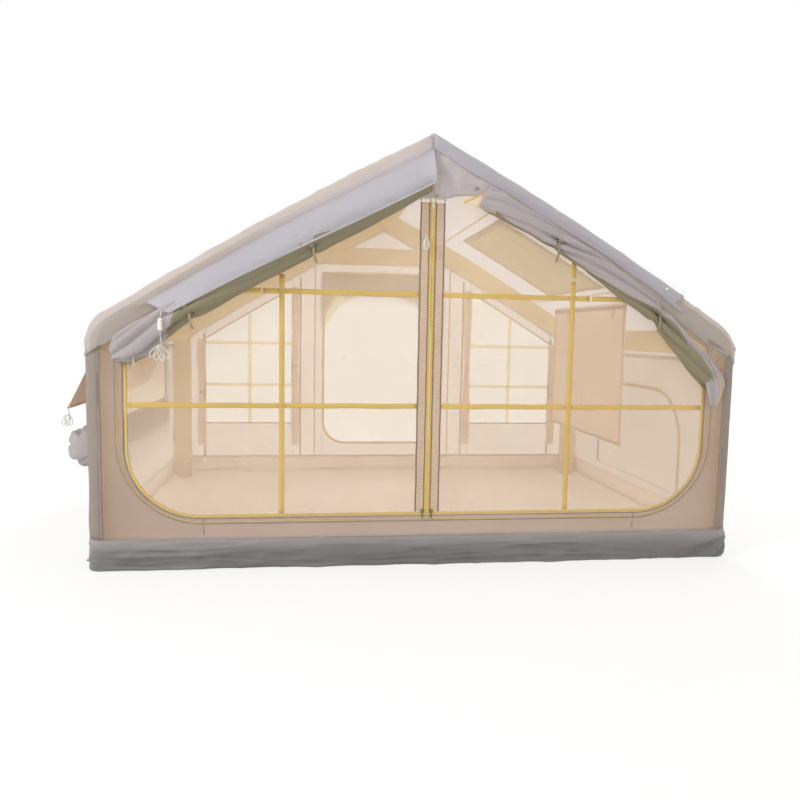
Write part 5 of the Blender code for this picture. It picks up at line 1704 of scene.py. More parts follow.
def archStations(side, foot, across=0.0002):
    stations = []
    for z in spread(foot, bendZ, 26):
        stations.append(lambda inset, z=z: onWall(side, inset, 0, z))
    for k in range(1, 13):
        stations.append(lambda inset, angle=turn * k / 12: onBend(side, angle, inset, 0))
    mitre = 0.3
    for k in range(1, 61):
        along = roofEnd * (1 - k / 60)

        def station(inset, along=along):
            upright = (across + inset * sin(slope)) / cos(slope)
            down = upright + along * (mitre - upright) / mitre if along < mitre else along
            return onRafter(side, down, inset, 0)

        stations.append(station)
    return stations


def beamRings(stations, y, radius):
    rings = []
    for station in stations:
        ring = []
        for angle in roundTurn(beams["sides"]):
            point = station(corner - radius * cos(angle))
            point.y = y + radius * sin(angle)
            ring.append(point)
        rings.append(ring)
    return rings


def creaseBeam(made, seed, where=None):
    # creases only ever pull the cloth in, so that it stays inside the cover
    made.normal_update()
    moves = []
    for vertex in made.verts:
        fine = (1 - abs(ridgeNoise(vertex.co, (9, 9, 16), seed))) ** 7
        broad = (1 - abs(ridgeNoise(vertex.co, (4, 5, 4), seed + 4))) ** 4
        size = beams["crease"] * (0.5 * broad + fine) * (0.5 + (where(vertex.co) if where else 0))
        moves.append(vertex.normal * -size)
    for vertex, move in zip(made.verts, moves):
        vertex.co += move


def makeBeam(name, rings, look, node, seed, where=None):
    made = bmesh.new()
    solidLoft(made, rings)
    evenNormals(made)
    creaseBeam(made, seed, where)
    piece = place(name, made, [look], "house", [node])


def makeBeams():
    for end, endName in ((-1, "front"), (1, "rear")):
        for side in (-1, 1):
            rings = beamRings(archStations(side, beams["foot"]), end * beamY, beams["radius"])
            near = lambda point: 1.6 * bump(point.z, bendZ + 0.05, 0.16) + bump(abs(point.x), 0, 0.15)
            node = f"{endName}_{sideName(side)}_sleeve"
            makeBeam(f"{endName}{sideName(side).capitalize()}Sleeve", rings, "sleeveCloth", node,
                side + 3 * end, near)
        whole = beamRings(archStations(1, beams["foot"] + 0.002, 0), end * beamY, beams["film"] - 0.0045)
        other = beamRings(archStations(-1, beams["foot"] + 0.002, 0), end * beamY, beams["film"] - 0.0045)
        node = endName + "_arch_bladder"
        makeBeam(endName + "ArchBladder", whole + other[:-1][::-1], "beamFilm", node, end * 5)
    spots = [("ridge", at(0, 0, underRoof(0, corner)))]
    room = (house["eaveBend"] - 0.0025) * (1 - cos(turn / 4 / 2))
    for side in (-1, 1):
        spots.append((sideName(side) + "_eave", onBend(side, turn / 2, corner + room, 0)))
    for name, centre in spots:
        for look, radius, part, slot in (("sleeveCloth", 0.0622, "sleeve", "sleeve_cloth"),
                ("beamFilm", 0.0550, "bladder", "bladder_film")):
            rings = []
            for y in spread(-beams["endY"], beams["endY"], 70):
                near = smooth((beams["endY"] - abs(y)) / 0.03)
                size = radius * (0.86 + 0.14 * sqrt(near))
                ring = []
                for angle in roundTurn(beams["sides"]):
                    ring.append(centre + at(size * cos(angle), y, size * sin(angle)))
                rings.append(ring)
            words = (name + "_" + part).split("_")
            label = words[0] + "".join(word.capitalize() for word in words[1:])
            makeBeam(label, rings, look, name + "_" + part, len(name))
    for look, radius, part, slot in (("sleeveCloth", 0.0622, "sleeve", "sleeve_cloth"),
            ("beamFilm", 0.0550, "bladder", "bladder_film")):
        rings = []
        inset = corner + house["beam"] + clearance
        for share in spread(-1, 1, 60):
            ring = []
            for angle in roundTurn(beams["sides"]):
                z = beams["collar"] + radius * sin(angle)
                reach = (house["ridge"] - inset / cos(slope) - z) / tan(slope)
                reach += bowAt(reach) / sin(slope) * 0.9
                ring.append(at(share * reach, beamY + radius * cos(angle), z))
            rings.append(ring)
        makeBeam("collar" + part.capitalize(), rings, look, "collar_" + part, 8)


makeBeams()
print("air beams filled")

# Rear wall with its door and two windows
rear = {
    "window": (0.66, 1.285, 0.39, 0.19),
    "door": (0.448, 0.232, 0.17, 1.50),
    "muntins": (0.969, 0.672, 0.975),
}


def clothColumns(made, xs, low, high, rows, put):
    # cloth between a lower and an upper edge, in upright columns
    grid = [[put(x, low(x) + (high(x) - low(x)) * share) for x in xs] for share in spread(0, 1, rows)]
    addGrid(made, grid)


def rearDoorFoot(x):
    half, bottom, bend, _ = rear["door"]
    over = abs(x) - (half - bend)
    return bottom if over <= 0 else bottom + bend - sqrt(max(bend**2 - over**2, 0))


def makeRearWall():
    made = bmesh.new()
    put = gablePlace(halfDepth - 0.0012)
    foot = house["tub"] + 0.001
    inner, outer, bottom, inset = rear["window"]
    half, _, _, doorTopZ = rear["door"]
    top = lambda x: underRoof(x, house["fascia"] - 0.02)
    floor = lambda x: foot
    for side in (-1, 1):
        clothColumns(made, [side * x for x in spread(outer, gableHalf, 10)], floor, top, 90, put)
        window = [side * x for x in spread(inner, outer, 44)]
        clothColumns(made, window, floor, lambda x: bottom, 20, put)
        clothColumns(made, window, lambda x: underRoof(x, inset), top, 10, put)
        clothColumns(made, [side * x for x in spread(half, inner, 16)], floor, top, 90, put)
    door = spread(-half, half, 60)
    clothColumns(made, door, floor, rearDoorFoot, 14, put)
    clothColumns(made, door, lambda x: doorTopZ, top, 24, put)

    def mask(point):
        return smooth((point.z - foot) / 0.03)

    folds = [((6, 1, 4), 0.0022, 2.8), ((11, 1, 4), 0.0022, 8.8, 6)]
    sewSheet("rearWall", made, ["wallCloth", "wallLining"], "house",
        nodes=["rear_wall"], folds=folds,
        mask=mask, away=(0, 1, 0), thick=0.0014)
    # bound seams on the inner face
    made = bmesh.new()
    y = halfDepth - 0.0046
    for x, low, high, wide in ((-0.604, foot, 1.45, 0.012), (-0.660, 0.245, 1.34, 0.016),
            (-0.500, foot, 1.53, 0.008), (0.500, foot, 1.53, 0.008), (0.604, foot, 1.45, 0.012),
            (1.292, foot, 1.04, 0.014), (-1.292, foot, 1.04, 0.014)):
        run = [at(x + 0.0012 * sin(z * 7 + x), y, z) for z in spread(low, high, 60)]
        strap(made, run, xWay, wide, 0.0016)
    for side in (-1, 1):
        frameLine = [(inner, bottom), (outer, bottom), (outer, underRoof(outer, inset)),
            (inner, underRoof(inner, inset))]
        for (a, b), (c, d) in zip(frameLine, frameLine[1:] + frameLine[:1]):
            run = [at(side * (a + (c - a) * t), y + 0.0004, b + (d - b) * t) for t in spread(0, 1, 20)]
            for point in run:
                if b != d and a != c:
                    point.z = underRoof(point.x, inset)
            across = zWay if a != c else xWay
            strap(made, run, across, 0.010, 0.0014)
        start, end = (0.46, 0.183), (0.385, 0.275)
        run = [at(side * (start[0] + (end[0] - start[0]) * t), y, start[1] + (end[1] - start[1]) * t)
            for t in spread(0, 1, 8)]
        strap(made, run, at(0.7, 0, 0.7), 0.004, 0.0012)
    sill = [at(x, y, foot + 0.004) for x in spread(-gableHalf, gableHalf, 80)]
    strap(made, sill, zWay, 0.010, 0.0016)
    place("rearSeams", made, ["seamTape"], "house")


def makeRearWindow(side):
    inner, outer, bottom, inset = rear["window"]
    gap = clearance
    made = bmesh.new()
    xs = spread(inner + gap, outer - gap, 40)
    sag = lambda x, z: 0.0030 * sin(pi * (abs(x) - inner) / (outer - inner)) * waver(x * 4, z * 4, 2.2)
    put = lambda x, z: at(side * x, halfDepth - 0.0022 + sag(x, z), z)
    clothColumns(made, xs, lambda x: bottom + gap, lambda x: underRoof(x, inset + gap), 50, put)
    name = sideName(side) + "RearWindow"
    sewSheet(name, made, ["windowMesh"], "house",
        nodes=[sideName(side) + "_rear_window"], away=(0, 1, 0), thick=0)
    made = bmesh.new()
    x, low, high = rear["muntins"]
    y = halfDepth - 0.0040
    upright = [at(side * x, y, z) for z in spread(bottom, underRoof(x, inset) - 0.002, 40)]
    strap(made, upright, xWay, 0.022, 0.0010)
    for level in (low, high):
        reach = min(outer, (house["ridge"] - level - 0.011 - inset / cos(slope)) / tan(slope))
        bar = [at(side * u, y - 0.0004, level) for u in spread(inner, reach, 30)]
        strap(made, bar, zWay, 0.022, 0.0010)
    place(name + "Bars", made, ["muntinTape"], "house")


def makeRearDoor():
    half, bottom, bend, top = rear["door"]
    gap = clearance
    made = bmesh.new()
    xs = spread(-half + gap, half - gap, 56)
    swell = (lambda x, z: 0.0045 * sin(pi * (x + half) / (2 * half)) * sin(pi * (z - bottom) / (top - bottom))
        * waver(x * 3, z * 3, 7))
    put = lambda x, z: at(x, halfDepth - 0.0020 + min(0, swell(x, z)), z)
    clothColumns(made, xs, lambda x: rearDoorFoot(x) + gap, lambda x: top - gap, 60, put)
    sewSheet("rearMeshDoor", made, ["rearMesh"], "rear_mesh_door",
        nodes=["rear_mesh_door"], away=(0, 1, 0), thick=0)
    made = bmesh.new()
    path = uPath(half - 0.010, bottom + 0.010, bend - 0.010, top - 0.010, 24, 16, 36)
    alongGable(made, path, halfDepth - 0.0026, 0.018, 0.0012, 0)
    alongGable(made, path, halfDepth - 0.0034, 0.0046, 0.0018, 1)
    across = [(u, top - 0.010) for u in spread(-half + 0.001, half - 0.001, 30)]
    alongGable(made, across, halfDepth - 0.0030, 0.018, 0.0012, 0)
    place("rearDoorZip", made, ["yellowWebbing", "zipCoil"], "rear_mesh_door")


bundleShares = (
    (-0.96, 0.750, 0.30),
    (-0.90, 0.815, 0.62),
    (-0.72, 0.890, 0.90),
    (-0.36, 0.930, 1.00),
    (0.10, 0.935, 1.00),
    (0.48, 0.905, 0.90),
    (0.64, 0.860, 0.62),
    (0.66, 0.810, 0.30),
)


def makeRearRoll():
    half, _, _, top = rear["door"]
    stops = [at(x * half, z * top, size) for x, z, size in bundleShares]
    made = bmesh.new()
    rings = []
    for share in spread(0, 1, 90):
        spot = alongCurve(stops, share)
        ahead = alongCurve(stops, min(share + 0.01, 1)) - alongCurve(stops, max(share - 0.01, 0))
        across = at(-ahead.y, 0, ahead.x).normalized()
        size = max(spot.z, 0.06)
        wide, deep = 0.070 * size, 0.042 * size
        centre = at(spot.x, halfDepth - 0.0008 + clearance + deep, spot.y)
        ring = []
        for angle in roundTurn(44):
            turned = angle + 5 * share + 0.6 * waver(share * 4, 1, 1)
            swell = (1 - 0.10 * (1 - abs(sin(2.5 * turned))) ** 3 - 0.05
                * waver(share * 14, cos(angle) * 1.5, sin(angle) * 1.5))
            ring.append(centre + across * wide * cos(angle) * swell + at(0, deep * sin(angle) * swell, 0))
        rings.append(ring)
    solidLoft(made, rings)
    evenNormals(made)
    for vertex in made.verts:
        vertex.co.y = max(vertex.co.y, halfDepth + 0.0002)
    piece = place("rearDoorRoll", made, ["flapCloth"], "house", ["rear_door_roll"])
    # the flap's upper part and its draped corners
    made = bmesh.new()
    rows = []
    for x in spread(-0.445, 0.445, 80):
        past = max(-0.345 - x, x - 0.235, 0)
        atCorner = smooth(past / 0.06)
        low = 1.330 - 1.75 * past + 0.004 * sin(26 * x)
        high = top - 0.004
        row = []
        for share in spread(0, 1, 26):
            z = high + (low - high) * share
            bulge = 0.012 + 0.050 * sin(pi * min(share * 0.95, 1)) * (1 - 0.5 * atCorner)
            bulge *= smooth(share / 0.15)
            row.append(at(x, halfDepth + 0.0022 + bulge, z))
        rows.append(row)
    addGrid(made, rows)
    sewSheet("rearDoorFlap", made, ["rollCloth", "flapCloth"], "house",
        folds=[((8, 5, 3), 0.004, 4.9), ((14, 5, 7), 0.004, 1.9, 5)],
        mask=lambda point: smooth((point.y - halfDepth - 0.008) / 0.02), away=(0, 1, 0))
    made = bmesh.new()
    for x in (-0.27, 0.17):
        loop = []
        for share in spread(0, 1, 26):
            angle = pi * (share - 0.05) * 1.1
            loop.append(at(x + 0.002 * sin(9 * share), halfDepth + 0.004 + 0.082 * sin(min(angle, pi)),
                1.405 + 0.085 * cos(angle)))
        strap(made, loop, xWay, 0.020, 0.0016)
    place("rearRollTies", made, ["tieTape"], "house")


curtainShares = ((1, 0.85), (0.88, 1.05), (0.58, 0.80), (0.50, 0.52), (0.42, 0.85), (0.16, 1.05), (0, 0.90))
curtains = {"wide": 0.030, "deep": 0.0135, "bottom": 0.23, "pleats": 5, "columns": 60}


def makeCurtain(side, x, top, which):
    made = bmesh.new()
    stops = list(curtainShares)[::-1]
    rows = []
    for share in spread(0, 1, 90):
        near, far = next(pair for pair in zip(stops, stops[1:]) if share <= pair[1][0])
        t = smooth((share - near[0]) / (far[0] - near[0]))
        size = near[1] + (far[1] - near[1]) * t
        z = curtains["bottom"] + (top - curtains["bottom"]) * share
        row = []
        for u in spread(-1, 1, curtains["columns"]):
            wave = cos(pi * curtains["pleats"] * u + 1.5 * waver(u * 2, z * 3, x))
            depth = curtains["deep"] * min(1, size) * (0.75 + 0.25 * waver(u * 5, z * 4, 3))
            across = side * x + curtains["wide"] * size * (u + 0.10 * sin(2 * pi * curtains["pleats"] * u))
            row.append(at(across, halfDepth - 0.0046 - curtains["deep"] + depth * wave, z))
        rows.append(row)
    addGrid(made, rows)
    name = f"{sideName(side)}RearCurtain{which.capitalize()}"
    belt = bmesh.new()
    z = curtains["bottom"] + (top - curtains["bottom"]) * 0.50
    loop = []
    wide, deep = curtains["wide"] * 0.52 + 0.0022, curtains["deep"] * 0.66
    for angle in roundTurn(32):
        centre = halfDepth - 0.0050 - curtains["deep"]
        loop.append(at(side * x + wide * cos(angle), centre - deep * sin(angle), z))
    rings = []
    for point in loop:
        out = (point - at(side * x, halfDepth - 0.0050 - curtains["deep"], z)).normalized()
        rings.append([point + out * o + at(0, 0, h) for o, h in ((0, -0.009), (0.0014, -0.009), (0.0018, 0),
            (0.0014, 0.009), (0, 0.009))])
    solidLoft(belt, rings, closed=True)
    evenNormals(belt)
    beltPiece = place(name + "Belt", belt, ["seamTape"], "house")
    bmesh.ops.remove_doubles(made, verts=made.verts[:], dist=0.0002)
    turnOut(made, lambda point: at(0, -1, 0))
    area = sum(face.calc_area() for face in made.faces)
    piece = place(name, made, ["curtainCloth"], "house", [f"{sideName(side)}_rear_curtain_{which}"])


makeRearWall()
makeRearDoor()
makeRearRoll()
for side in (-1, 1):
    makeRearWindow(side)
    makeCurtain(side, 0.64, 1.39, "inner")
    makeCurtain(side, 1.31, 1.00, "outer")
print("rear wall, windows and curtains sewn")

# Left window: mesh, awning hung out from the eave, and the flap tied up below
bundleAlong = (
    (-1, 0.84),
    (-0.90, 1.24),
    (-0.66, 1.06),
    (-0.45, 0.92),
    (0, 1.0),
    (0.45, 0.90),
    (0.90, 1.0),
    (1, 0.66),
)


def makeLeftWindow():
    half, low, high = sideWalls["leftWindow"]
    made = bmesh.new()
    rows = [[at(-halfWidth + 0.0016 + 0.002 * waver(y * 3, z * 4, 1), y, z)
        for y in spread(-half + clearance, half - clearance, 70)]
        for z in spread(low + clearance, high - clearance, 24)]
    addGrid(made, rows)
    sewSheet("leftWindowMesh", made, ["sideMesh"], "house",
        nodes=["left_window_mesh"], away=(-1, 0, 0), thick=0)
    made = bmesh.new()
    corners = [(-half, low), (half, low), (half, high), (-half, high)]
    for (a, b), (c, d) in zip(corners, corners[1:] + corners[:1]):
        for x in (-halfWidth - 0.0006, -halfWidth + 0.0036):
            run = [at(x, a + (c - a) * t, b + (d - b) * t) for t in spread(0, 1, 30)]
            strap(made, run, zWay if a != c else yWay, 0.018, 0.0014)
    place("leftWindowBinding", made, ["seamTape"], "house")


def makeAwning():
    made = bmesh.new()
    hinge = at(-halfWidth - clearance - 0.0026, 0, bendZ - clearance)
    rows = []
    edge = []
    for share in spread(-1, 1, 120):
        sag = awning["sag"] * (1 - share * share)
        row = []
        for fall in spread(0, 1, 22):
            out = awning["reach"] * (0.72 * fall + 0.28 * fall**1.7)
            flutter = 0.004 * fall * waver(share * 5, fall * 2, 4.4)
            row.append(hinge + at(-out + sag * fall + flutter, share * awning["half"], -awning["fall"] * fall))
        rows.append(row)
        edge.append(row[-1])
    addGrid(made, rows)
    folds = [((4, 6, 3), 0.0025, 8.1, 5)]
    sewSheet("leftAwning", made, ["awningCloth", "awningLining"], "awning",
        nodes=["left_awning"], folds=folds,
        mask=lambda point: smooth((-point.x - halfWidth - 0.002) / 0.02), away=(-1, 0, 0.3), thick=0.0014)
    made = bmesh.new()
    strap(made, [point + at(-0.0004, 0, 0.001) for point in edge], at(-0.45, 0, 1), 0.010, 0.0030)
    for side in (0, -1):
        run = [point + at(-0.0004, 0, 0) for point in rows[side]]
        strap(made, run, yWay, 0.008, 0.0030)
    place("leftAwningHem", made, ["hemOrange"], "awning")
    # bead and eyelet at the front corner
    made = bmesh.new()
    spot = edge[0] + at(0.0022, 0.010, 0.006)
    bead = [[spot + at(size * cos(a), size * sin(a), up) for a in roundTurn(20)]
        for up, size in ((-0.008, 0.002), (-0.007, 0.0048), (-0.003, 0.0066), (0.003, 0.0066), (0.007, 0.0048),
        (0.008, 0.002))]
    solidLoft(made, bead)
    evenNormals(made)
    place("leftAwningBead", made, ["creamPlastic"], "awning")


def makeWindowFlap():
    made = bmesh.new()
    rings = []
    for share in spread(-1, 1, 200):
        near, far = next(pair for pair in zip(bundleAlong, bundleAlong[1:]) if share <= pair[1][0] + 1e-9)
        t = smooth((share - near[0]) / (far[0] - near[0]))
        size = near[1] + (far[1] - near[1]) * t
        for tie in (-0.45, 0.45):
            size *= 1 - 0.22 * bump(share, tie, 0.035)
        ends = smooth((1 - abs(share)) / 0.03)
        size *= 0.35 + 0.65 * sqrt(ends)
        deep, wide = 0.066 * size, 0.074 * size
        centre = at(-halfWidth - clearance - deep, share * 0.82, 0.495 + 0.012 * smooth((-0.5 - share) / 0.3))
        ring = []
        for angle in roundTurn(48):
            turned = angle * 3 + 5.5 * share + 1.2 * waver(share * 5, 1, 2)
            swell = (1.08 - 0.27 * (1 - abs(sin(turned))) ** 2 - 0.16
                * abs(waver(share * 11, cos(angle) * 1.4, sin(angle) * 1.4)))
            ring.append(centre + at(-deep * sin(angle) * swell, 0, wide * cos(angle) * swell))
        rings.append(ring)
    solidLoft(made, rings)
    evenNormals(made)
    piece = place("leftWindowFlap", made, ["rollCloth"], "house", ["left_window_flap"])
    # the flap's top edge, sewn under the window, and two tapes that hold the bundle
    made = bmesh.new()
    rows = []
    for y in spread(-0.78, 0.78, 90):
        rows.append([at(-halfWidth - 0.0022 - 0.018 * share**2, y,
            0.592 - 0.045 * share + 0.002 * waver(y * 6, share, 0)) for share in spread(0, 1, 8)])
    addGrid(made, rows)
    sewSheet("leftWindowFlapTop", made, ["rollCloth"], "house",
        folds=[((4, 14, 4), 0.003, 3.8)], mask=lambda point: smooth((0.588 - point.z)
        / 0.02), away=(-1, 0, 0.3))
    made = bmesh.new()
    for share in (-0.45, 0.45):
        loop = []
        for t in spread(0, 1, 30):
            angle = pi * (1.08 * t - 0.04)
            loop.append(at(-halfWidth - 0.004 - 0.116 * sin(max(min(angle, pi), 0)), share * 0.82,
                0.495 + 0.069 * cos(angle)))
        strap(made, loop, yWay, 0.020, 0.0016)
        spot = loop[14]
        hang = [spot + at(-0.002 - 0.006 * t, 0.006 * t, -0.058 * t) for t in spread(0, 1, 8)]
        strap(made, hang, yWay, 0.012, 0.0014)
    place("leftBundleTies", made, ["tieTape"], "house")


makeLeftWindow()
makeAwning()
makeWindowFlap()
print("left window and awning made")


# Right side door: an arched cloth panel with its zip
def makeSideDoor():
    half, low, high, bend = (sideWalls[key] for key in ("doorHalf", "doorBottom", "doorTop", "doorCorner"))
    edge = clearance

    def archTop(y):
        over = abs(y) - (half - bend)
        return high - edge if over <= 0 else high - edge - bend + sqrt(max(bend**2 - over**2, 0))

    made = bmesh.new()
    ys = spread(-half + edge, half - edge, 70)
    put = lambda y, z: at(halfWidth - 0.0004 - 0.003 * sin(pi * (y + half) / (2 * half)), y, z)
    clothColumns(made, ys, lambda y: low + edge, archTop, 40, put)
    folds = [((3, 5, 5), 0.002, 6.6), ((3, 9, 3), 0.002, 2.6, 6)]
    sewSheet("rightSideDoor", made, ["wallCloth", "sideLining"], "right_side_door",
        nodes=["right_side_door"], folds=folds,
        mask=lambda point: smooth((archTop(point.y) - point.z) / 0.05), away=(1, 0, 0), thick=0.0014)
    made = bmesh.new()
    arch = [(y, -z) for y, z in uPath(half - 0.009, -high + 0.009, bend - 0.009, -low - 0.004, 10, 14, 30)]
    sides = pathSides(arch)
    for x, wide, thick, look in ((halfWidth + 0.0006, 0.016, 0.0014, 0),
            (halfWidth + 0.0014, 0.0046, 0.0022, 1), (halfWidth - 0.0050, 0.016, 0.0014, 0)):
        points = [at(x, y, z) for y, z in arch]
        strap(made, points, [at(0, u, v) for u, v in sides], wide, thick, look)
    place("rightSideZip", made, ["yellowWebbing", "zipCoil"], "right_side_door")


# Skylight: mesh set in the right roof, its cover hinged at the top
def makeSkylight():
    made = bmesh.new()
    top, bottom, front, back = (skylight[key] for key in ("top", "bottom", "front", "back"))
    rows = [[onRafter(1, along, 0.0014 + roofSag(along, y), y) for y in spread(front - 0.004, back + 0.004, 52)]
        for along in spread(top - 0.004, bottom + 0.004, 40)]
    addGrid(made, rows)
    sewSheet("skylightMesh", made, ["roofMesh"], "house",
        nodes=["skylight_mesh"], away=(0.4, 0, 1), thick=0)
    lap = skylight["lap"]
    made = bmesh.new()
    rows = []
    for along in spread(top - lap, bottom + lap, 56):
        row = []
        for y in spread(front - lap, back + lap, 72):
            rim = min(along - top + lap, bottom + lap - along, y - front + lap, back + lap - y)
            puff = 0.004 * smooth(rim / 0.08) * (0.5 + waver(along * 4, y * 4, 9))
            row.append(onRafter(1, along, -0.0026 + roofSag(along, y) * (1 - 0.3 * smooth(rim / 0.1)) - puff,
                y))
        rows.append(row)
    addGrid(made, rows)
    folds = [((4, 7, 4), 0.004, 5.3, 6)]
    sewSheet("skylightCover", made, ["coverCloth"], "skylight_cover",
        nodes=["skylight_cover"], folds=folds, mask=lambda point: 0.6, away=(0.4, 0, 1),
        thick=0.0014)
    made = bmesh.new()
    border = [rows[0], [row[-1] for row in rows], rows[-1][::-1], [row[0] for row in rows][::-1]]
    for k, run in enumerate(border):
        across = downhill[1] if k % 2 == 0 else yWay
        strap(made, [point - inward[1] * 0.0006 for point in run], across, 0.012, 0.0032)
    place("skylightCoverBinding", made, ["yellowWebbing"], "skylight_cover")
    # bound edge of the opening, and the roof's inner seams
    made = bmesh.new()
    corners = [(top, front), (top, back), (bottom, back), (bottom, front)]
    for (a, b), (c, d) in zip(corners, corners[1:] + corners[:1]):
        run = []
        for t in spread(0, 1, 40):
            along, y = a + (c - a) * t, b + (d - b) * t
            run.append(onRafter(1, along, 0.0032 + roofSag(along, y), y))
        strap(made, run, downhill[1] if a == c else yWay, 0.012, 0.0016)
    for side in (-1, 1):
        for along in (0.486, 1.300):
            run = [onRafter(side, along, 0.0030 + roofSag(along, y), y) for y in spread(-beamY, beamY, 90)]
            strap(made, run, downhill[side], 0.009, 0.0016)
    place("roofSeams", made, ["seamOrange"], "house")


hangingCurtain = {"plane": 1.20, "front": -0.45, "back": 0.70, "bottom": 0.45, "pleats": 4}


def makeHangingCurtain():
    front, back, bottom = (hangingCurtain[key] for key in ("front", "back", "bottom"))
    top = house["ridge"] - hangingCurtain["plane"] * tan(slope) - 0.006
    made = bmesh.new()
    rows = []
    for fall in spread(0, 1, 70):
        row = []
        for share in spread(0, 1, 90):
            y = front + (back - front) * share
            wave = 0.0075 * fall * sin(2 * pi * hangingCurtain["pleats"] * share + 0.8 * waver(fall * 2, 0, 1))
            crease = 0.004 * waver(share * 5, fall * 3, 3) * fall
            row.append(at(hangingCurtain["plane"] + wave + crease, y, top + (bottom - top) * fall))
        rows.append(row)
    addGrid(made, rows)
    sewSheet("hangingCurtain", made, ["curtainCloth"], "hanging_curtain",
        nodes=["hanging_curtain"], folds=[((3, 5, 9), 0.002, 3.7, 5)], away=(-1, 0, 0),
        thick=0.0014)
    made = bmesh.new()
    x = hangingCurtain["plane"] - 0.0016
    for row, drop in ((rows[2], 0.022), (rows[-2], 0.014)):
        strap(made, [point + at(-0.0016, 0, 0) for point in row], zWay, drop, 0.0014)
    for k in (2, -3):
        strap(made, [row[k] + at(-0.0016, 0, 0) for row in rows], yWay, 0.014, 0.0014)
    for y in (front + 0.16, front + 0.88):
        loop = []
        for t in spread(0, 1, 20):
            angle = pi * t
            loop.append(at(x - 0.002 - 0.010 * sin(angle), y + 0.030 * cos(angle) * 0.5,
                top - 0.03 - 0.058 * sin(angle)))
        tubeAlong(made, refine(loop, 0.003), 0.0018, 8)
    place("hangingCurtainHem", made, ["seamTape"], "hanging_curtain")
    made = bmesh.new()
    tie = [at(x - 0.004, 0.14 + 0.004 * sin(5 * t), 0.70 - 0.10 * t) for t in spread(0, 1, 14)]
    strap(made, tie, yWay, 0.012, 0.0016)
    place("hangingCurtainTie", made, ["tieTape"], "hanging_curtain")


makeSideDoor()
makeSkylight()
makeHangingCurtain()
print("side door, skylight and curtain made")

# Inflation valve
# its middle's height above the ground, then radii
valve = {
    "height": 0.30,
    "flange": 0.0300,
    "collar": 0.0190,
    "neck": 0.0176,
    "bore": 0.0131,
    "cap": 0.0230,
    "plunger": 0.0126,
}


def lathe(made, profile, sides=48, closed=False, ribs=None):
    rings = []
    for distance, radius in profile:
        ring = []
        for angle in roundTurn(sides):
            size = radius * (1 + (ribs(distance, angle) if ribs else 0))
            ring.append(at(-distance, beamY + size * cos(angle), valve["height"] + size * sin(angle)))
        rings.append(ring)
    solidLoft(made, rings, closed=closed)


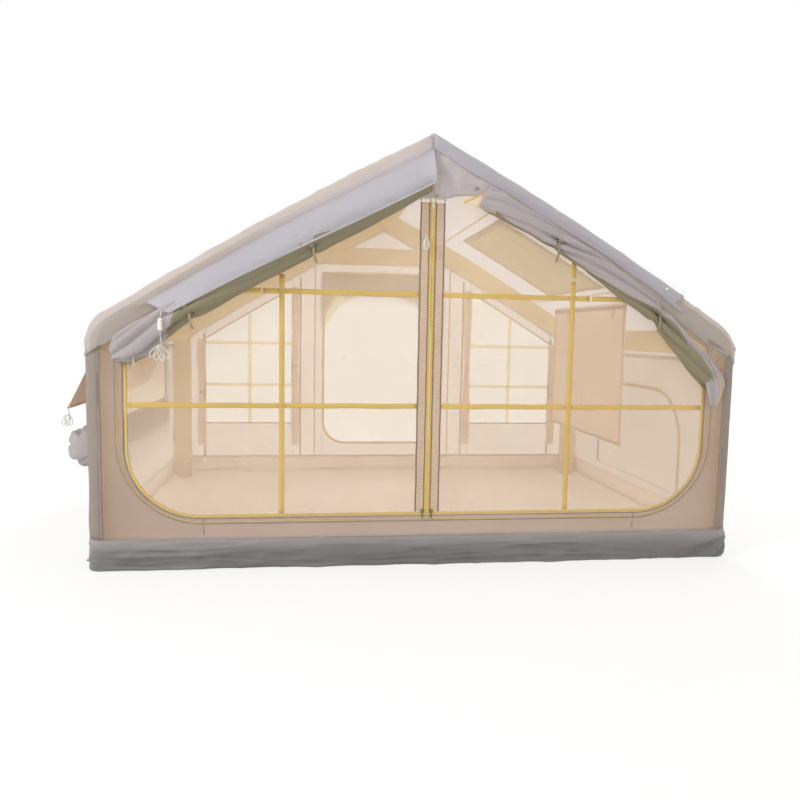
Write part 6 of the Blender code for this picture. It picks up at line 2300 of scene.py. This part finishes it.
def makeValve():
    face = halfWidth + clearance
    flange, collar = face + 0.004, face + 0.012
    neck = halfWidth - 0.030
    made = bmesh.new()
    profile = [(collar, 0.0186), (collar - 0.0008, valve["collar"]), (flange + 0.0004, valve["collar"]),
        (flange, 0.0196), (flange, 0.0285), (flange - 0.0010, 0.0299), (face + 0.0004, valve["flange"]),
        (face, 0.0292), (face, 0.0178), (neck, valve["neck"]), (neck, valve["bore"]),
        (collar - 0.0006, valve["bore"]), (collar, 0.0137)]
    lathe(made, profile, closed=True)
    for angle in roundTurn(12):  # ribs on the flange
        out = at(0, cos(angle), sin(angle))
        centre = at(-flange - 0.0004, beamY, valve["height"])
        strap(made, [centre + out * 0.0215, centre + out * 0.0275], at(0, -sin(angle), cos(angle)), 0.0022,
            0.0012)
    evenNormals(made)
    place("valveBody", made, ["darkPlastic"], "house", ["inflation_valve_body"])
    rim = flange + clearance
    made = bmesh.new()
    grip = (lambda distance, angle: 0.030 * max(0, sin(18 * angle)) if rim + 0.001 < distance < rim + 0.0105
        else 0)
    profile = [(rim + 0.0118, 0.004), (rim + 0.0120, 0.012), (rim + 0.0116, 0.0205), (rim + 0.0104, 0.0226),
        (rim + 0.0090, valve["cap"]), (rim + 0.0020, valve["cap"]), (rim, 0.0228), (rim, 0.0197),
        (rim + 0.0095, 0.0197), (rim + 0.0098, 0.004)]
    lathe(made, profile, ribs=grip, sides=72)
    block(made, (-rim - 0.0136, beamY - 0.013, valve["height"] - 0.0025),
        (-rim - 0.0112, beamY + 0.013, valve["height"] + 0.0025), 0, 0.0008)
    evenNormals(made)
    place("valveCap", made, ["darkPlastic"], "inflation_valve_cap", ["inflation_valve_cap"])
    made = bmesh.new()
    front = collar - 0.006
    profile = [(front + 0.0002, 0.003), (front, 0.0110), (front - 0.0006, valve["plunger"]),
        (front - 0.0026, valve["plunger"]), (front - 0.0030, 0.0120), (front - 0.0030, 0.0042),
        (front - 0.0145, 0.0040), (front - 0.0150, 0.0030)]
    lathe(made, profile, sides=40)
    evenNormals(made)
    place("valvePlunger", made, ["creamPlastic"], "inflation_valve_plunger", ["inflation_valve_plunger"])


# Small trim: ridge tape, post seams, peg loops
trim = {"loops": ((-1, -0.96), (-1, 0.0), (-1, 0.96), (1, -0.96), (1, 0.0), (1, 0.96)), "ridgeWide": 0.034}


def makeTrim():
    made = bmesh.new()
    run = []
    for y in spread(0.012 - halfDepth, halfDepth - 0.012, 240):
        over = max(abs(y) - beamY, 0)
        ruffle = 0.0016 * sin(760 * y) * bump(y, -beamY, 0.05)
        run.append(at(0.0004 * sin(9 * y), y, house["ridge"] - corner + sqrt(corner**2 - over**2) + 0.0006
            + ruffle))
    strap(made, run, xWay, trim["ridgeWide"] * 0.30, 0.0020)
    place("ridgeTape", made, ["roofHem"], "house")
    made = bmesh.new()
    foot = house["tub"] + 0.001
    for x in (-1, 1):
        for end in (-1, 1):
            high = underRoof(gableHalf, house["fascia"] - 0.004)
            run = [at(x * gableHalf, end * (halfDepth + 0.0008), z) for z in spread(foot, high, 50)]
            strap(made, run, xWay, 0.008, 0.0022)
    place("postSeams", made, ["greyBinding"], "house")
    made = bmesh.new()
    for x, y in trim["loops"]:
        start = at(x * (halfWidth + 0.0026), y, 0.030)
        loop = [start + at(0, 0, 0.022)]
        for t in spread(0, 1, 16):
            angle = pi * t
            loop.append(start + at(x * 0.020 * sin(angle), 0, 0.004 * cos(angle) - 0.004))
        loop.append(start + at(x * 0.0018, 0, 0.020))
        strap(made, loop, yWay, 0.022, 0.0016)
    place("pegLoops", made, ["greyBinding"], "house")


makeValve()
makeTrim()
print("valve and trim made")
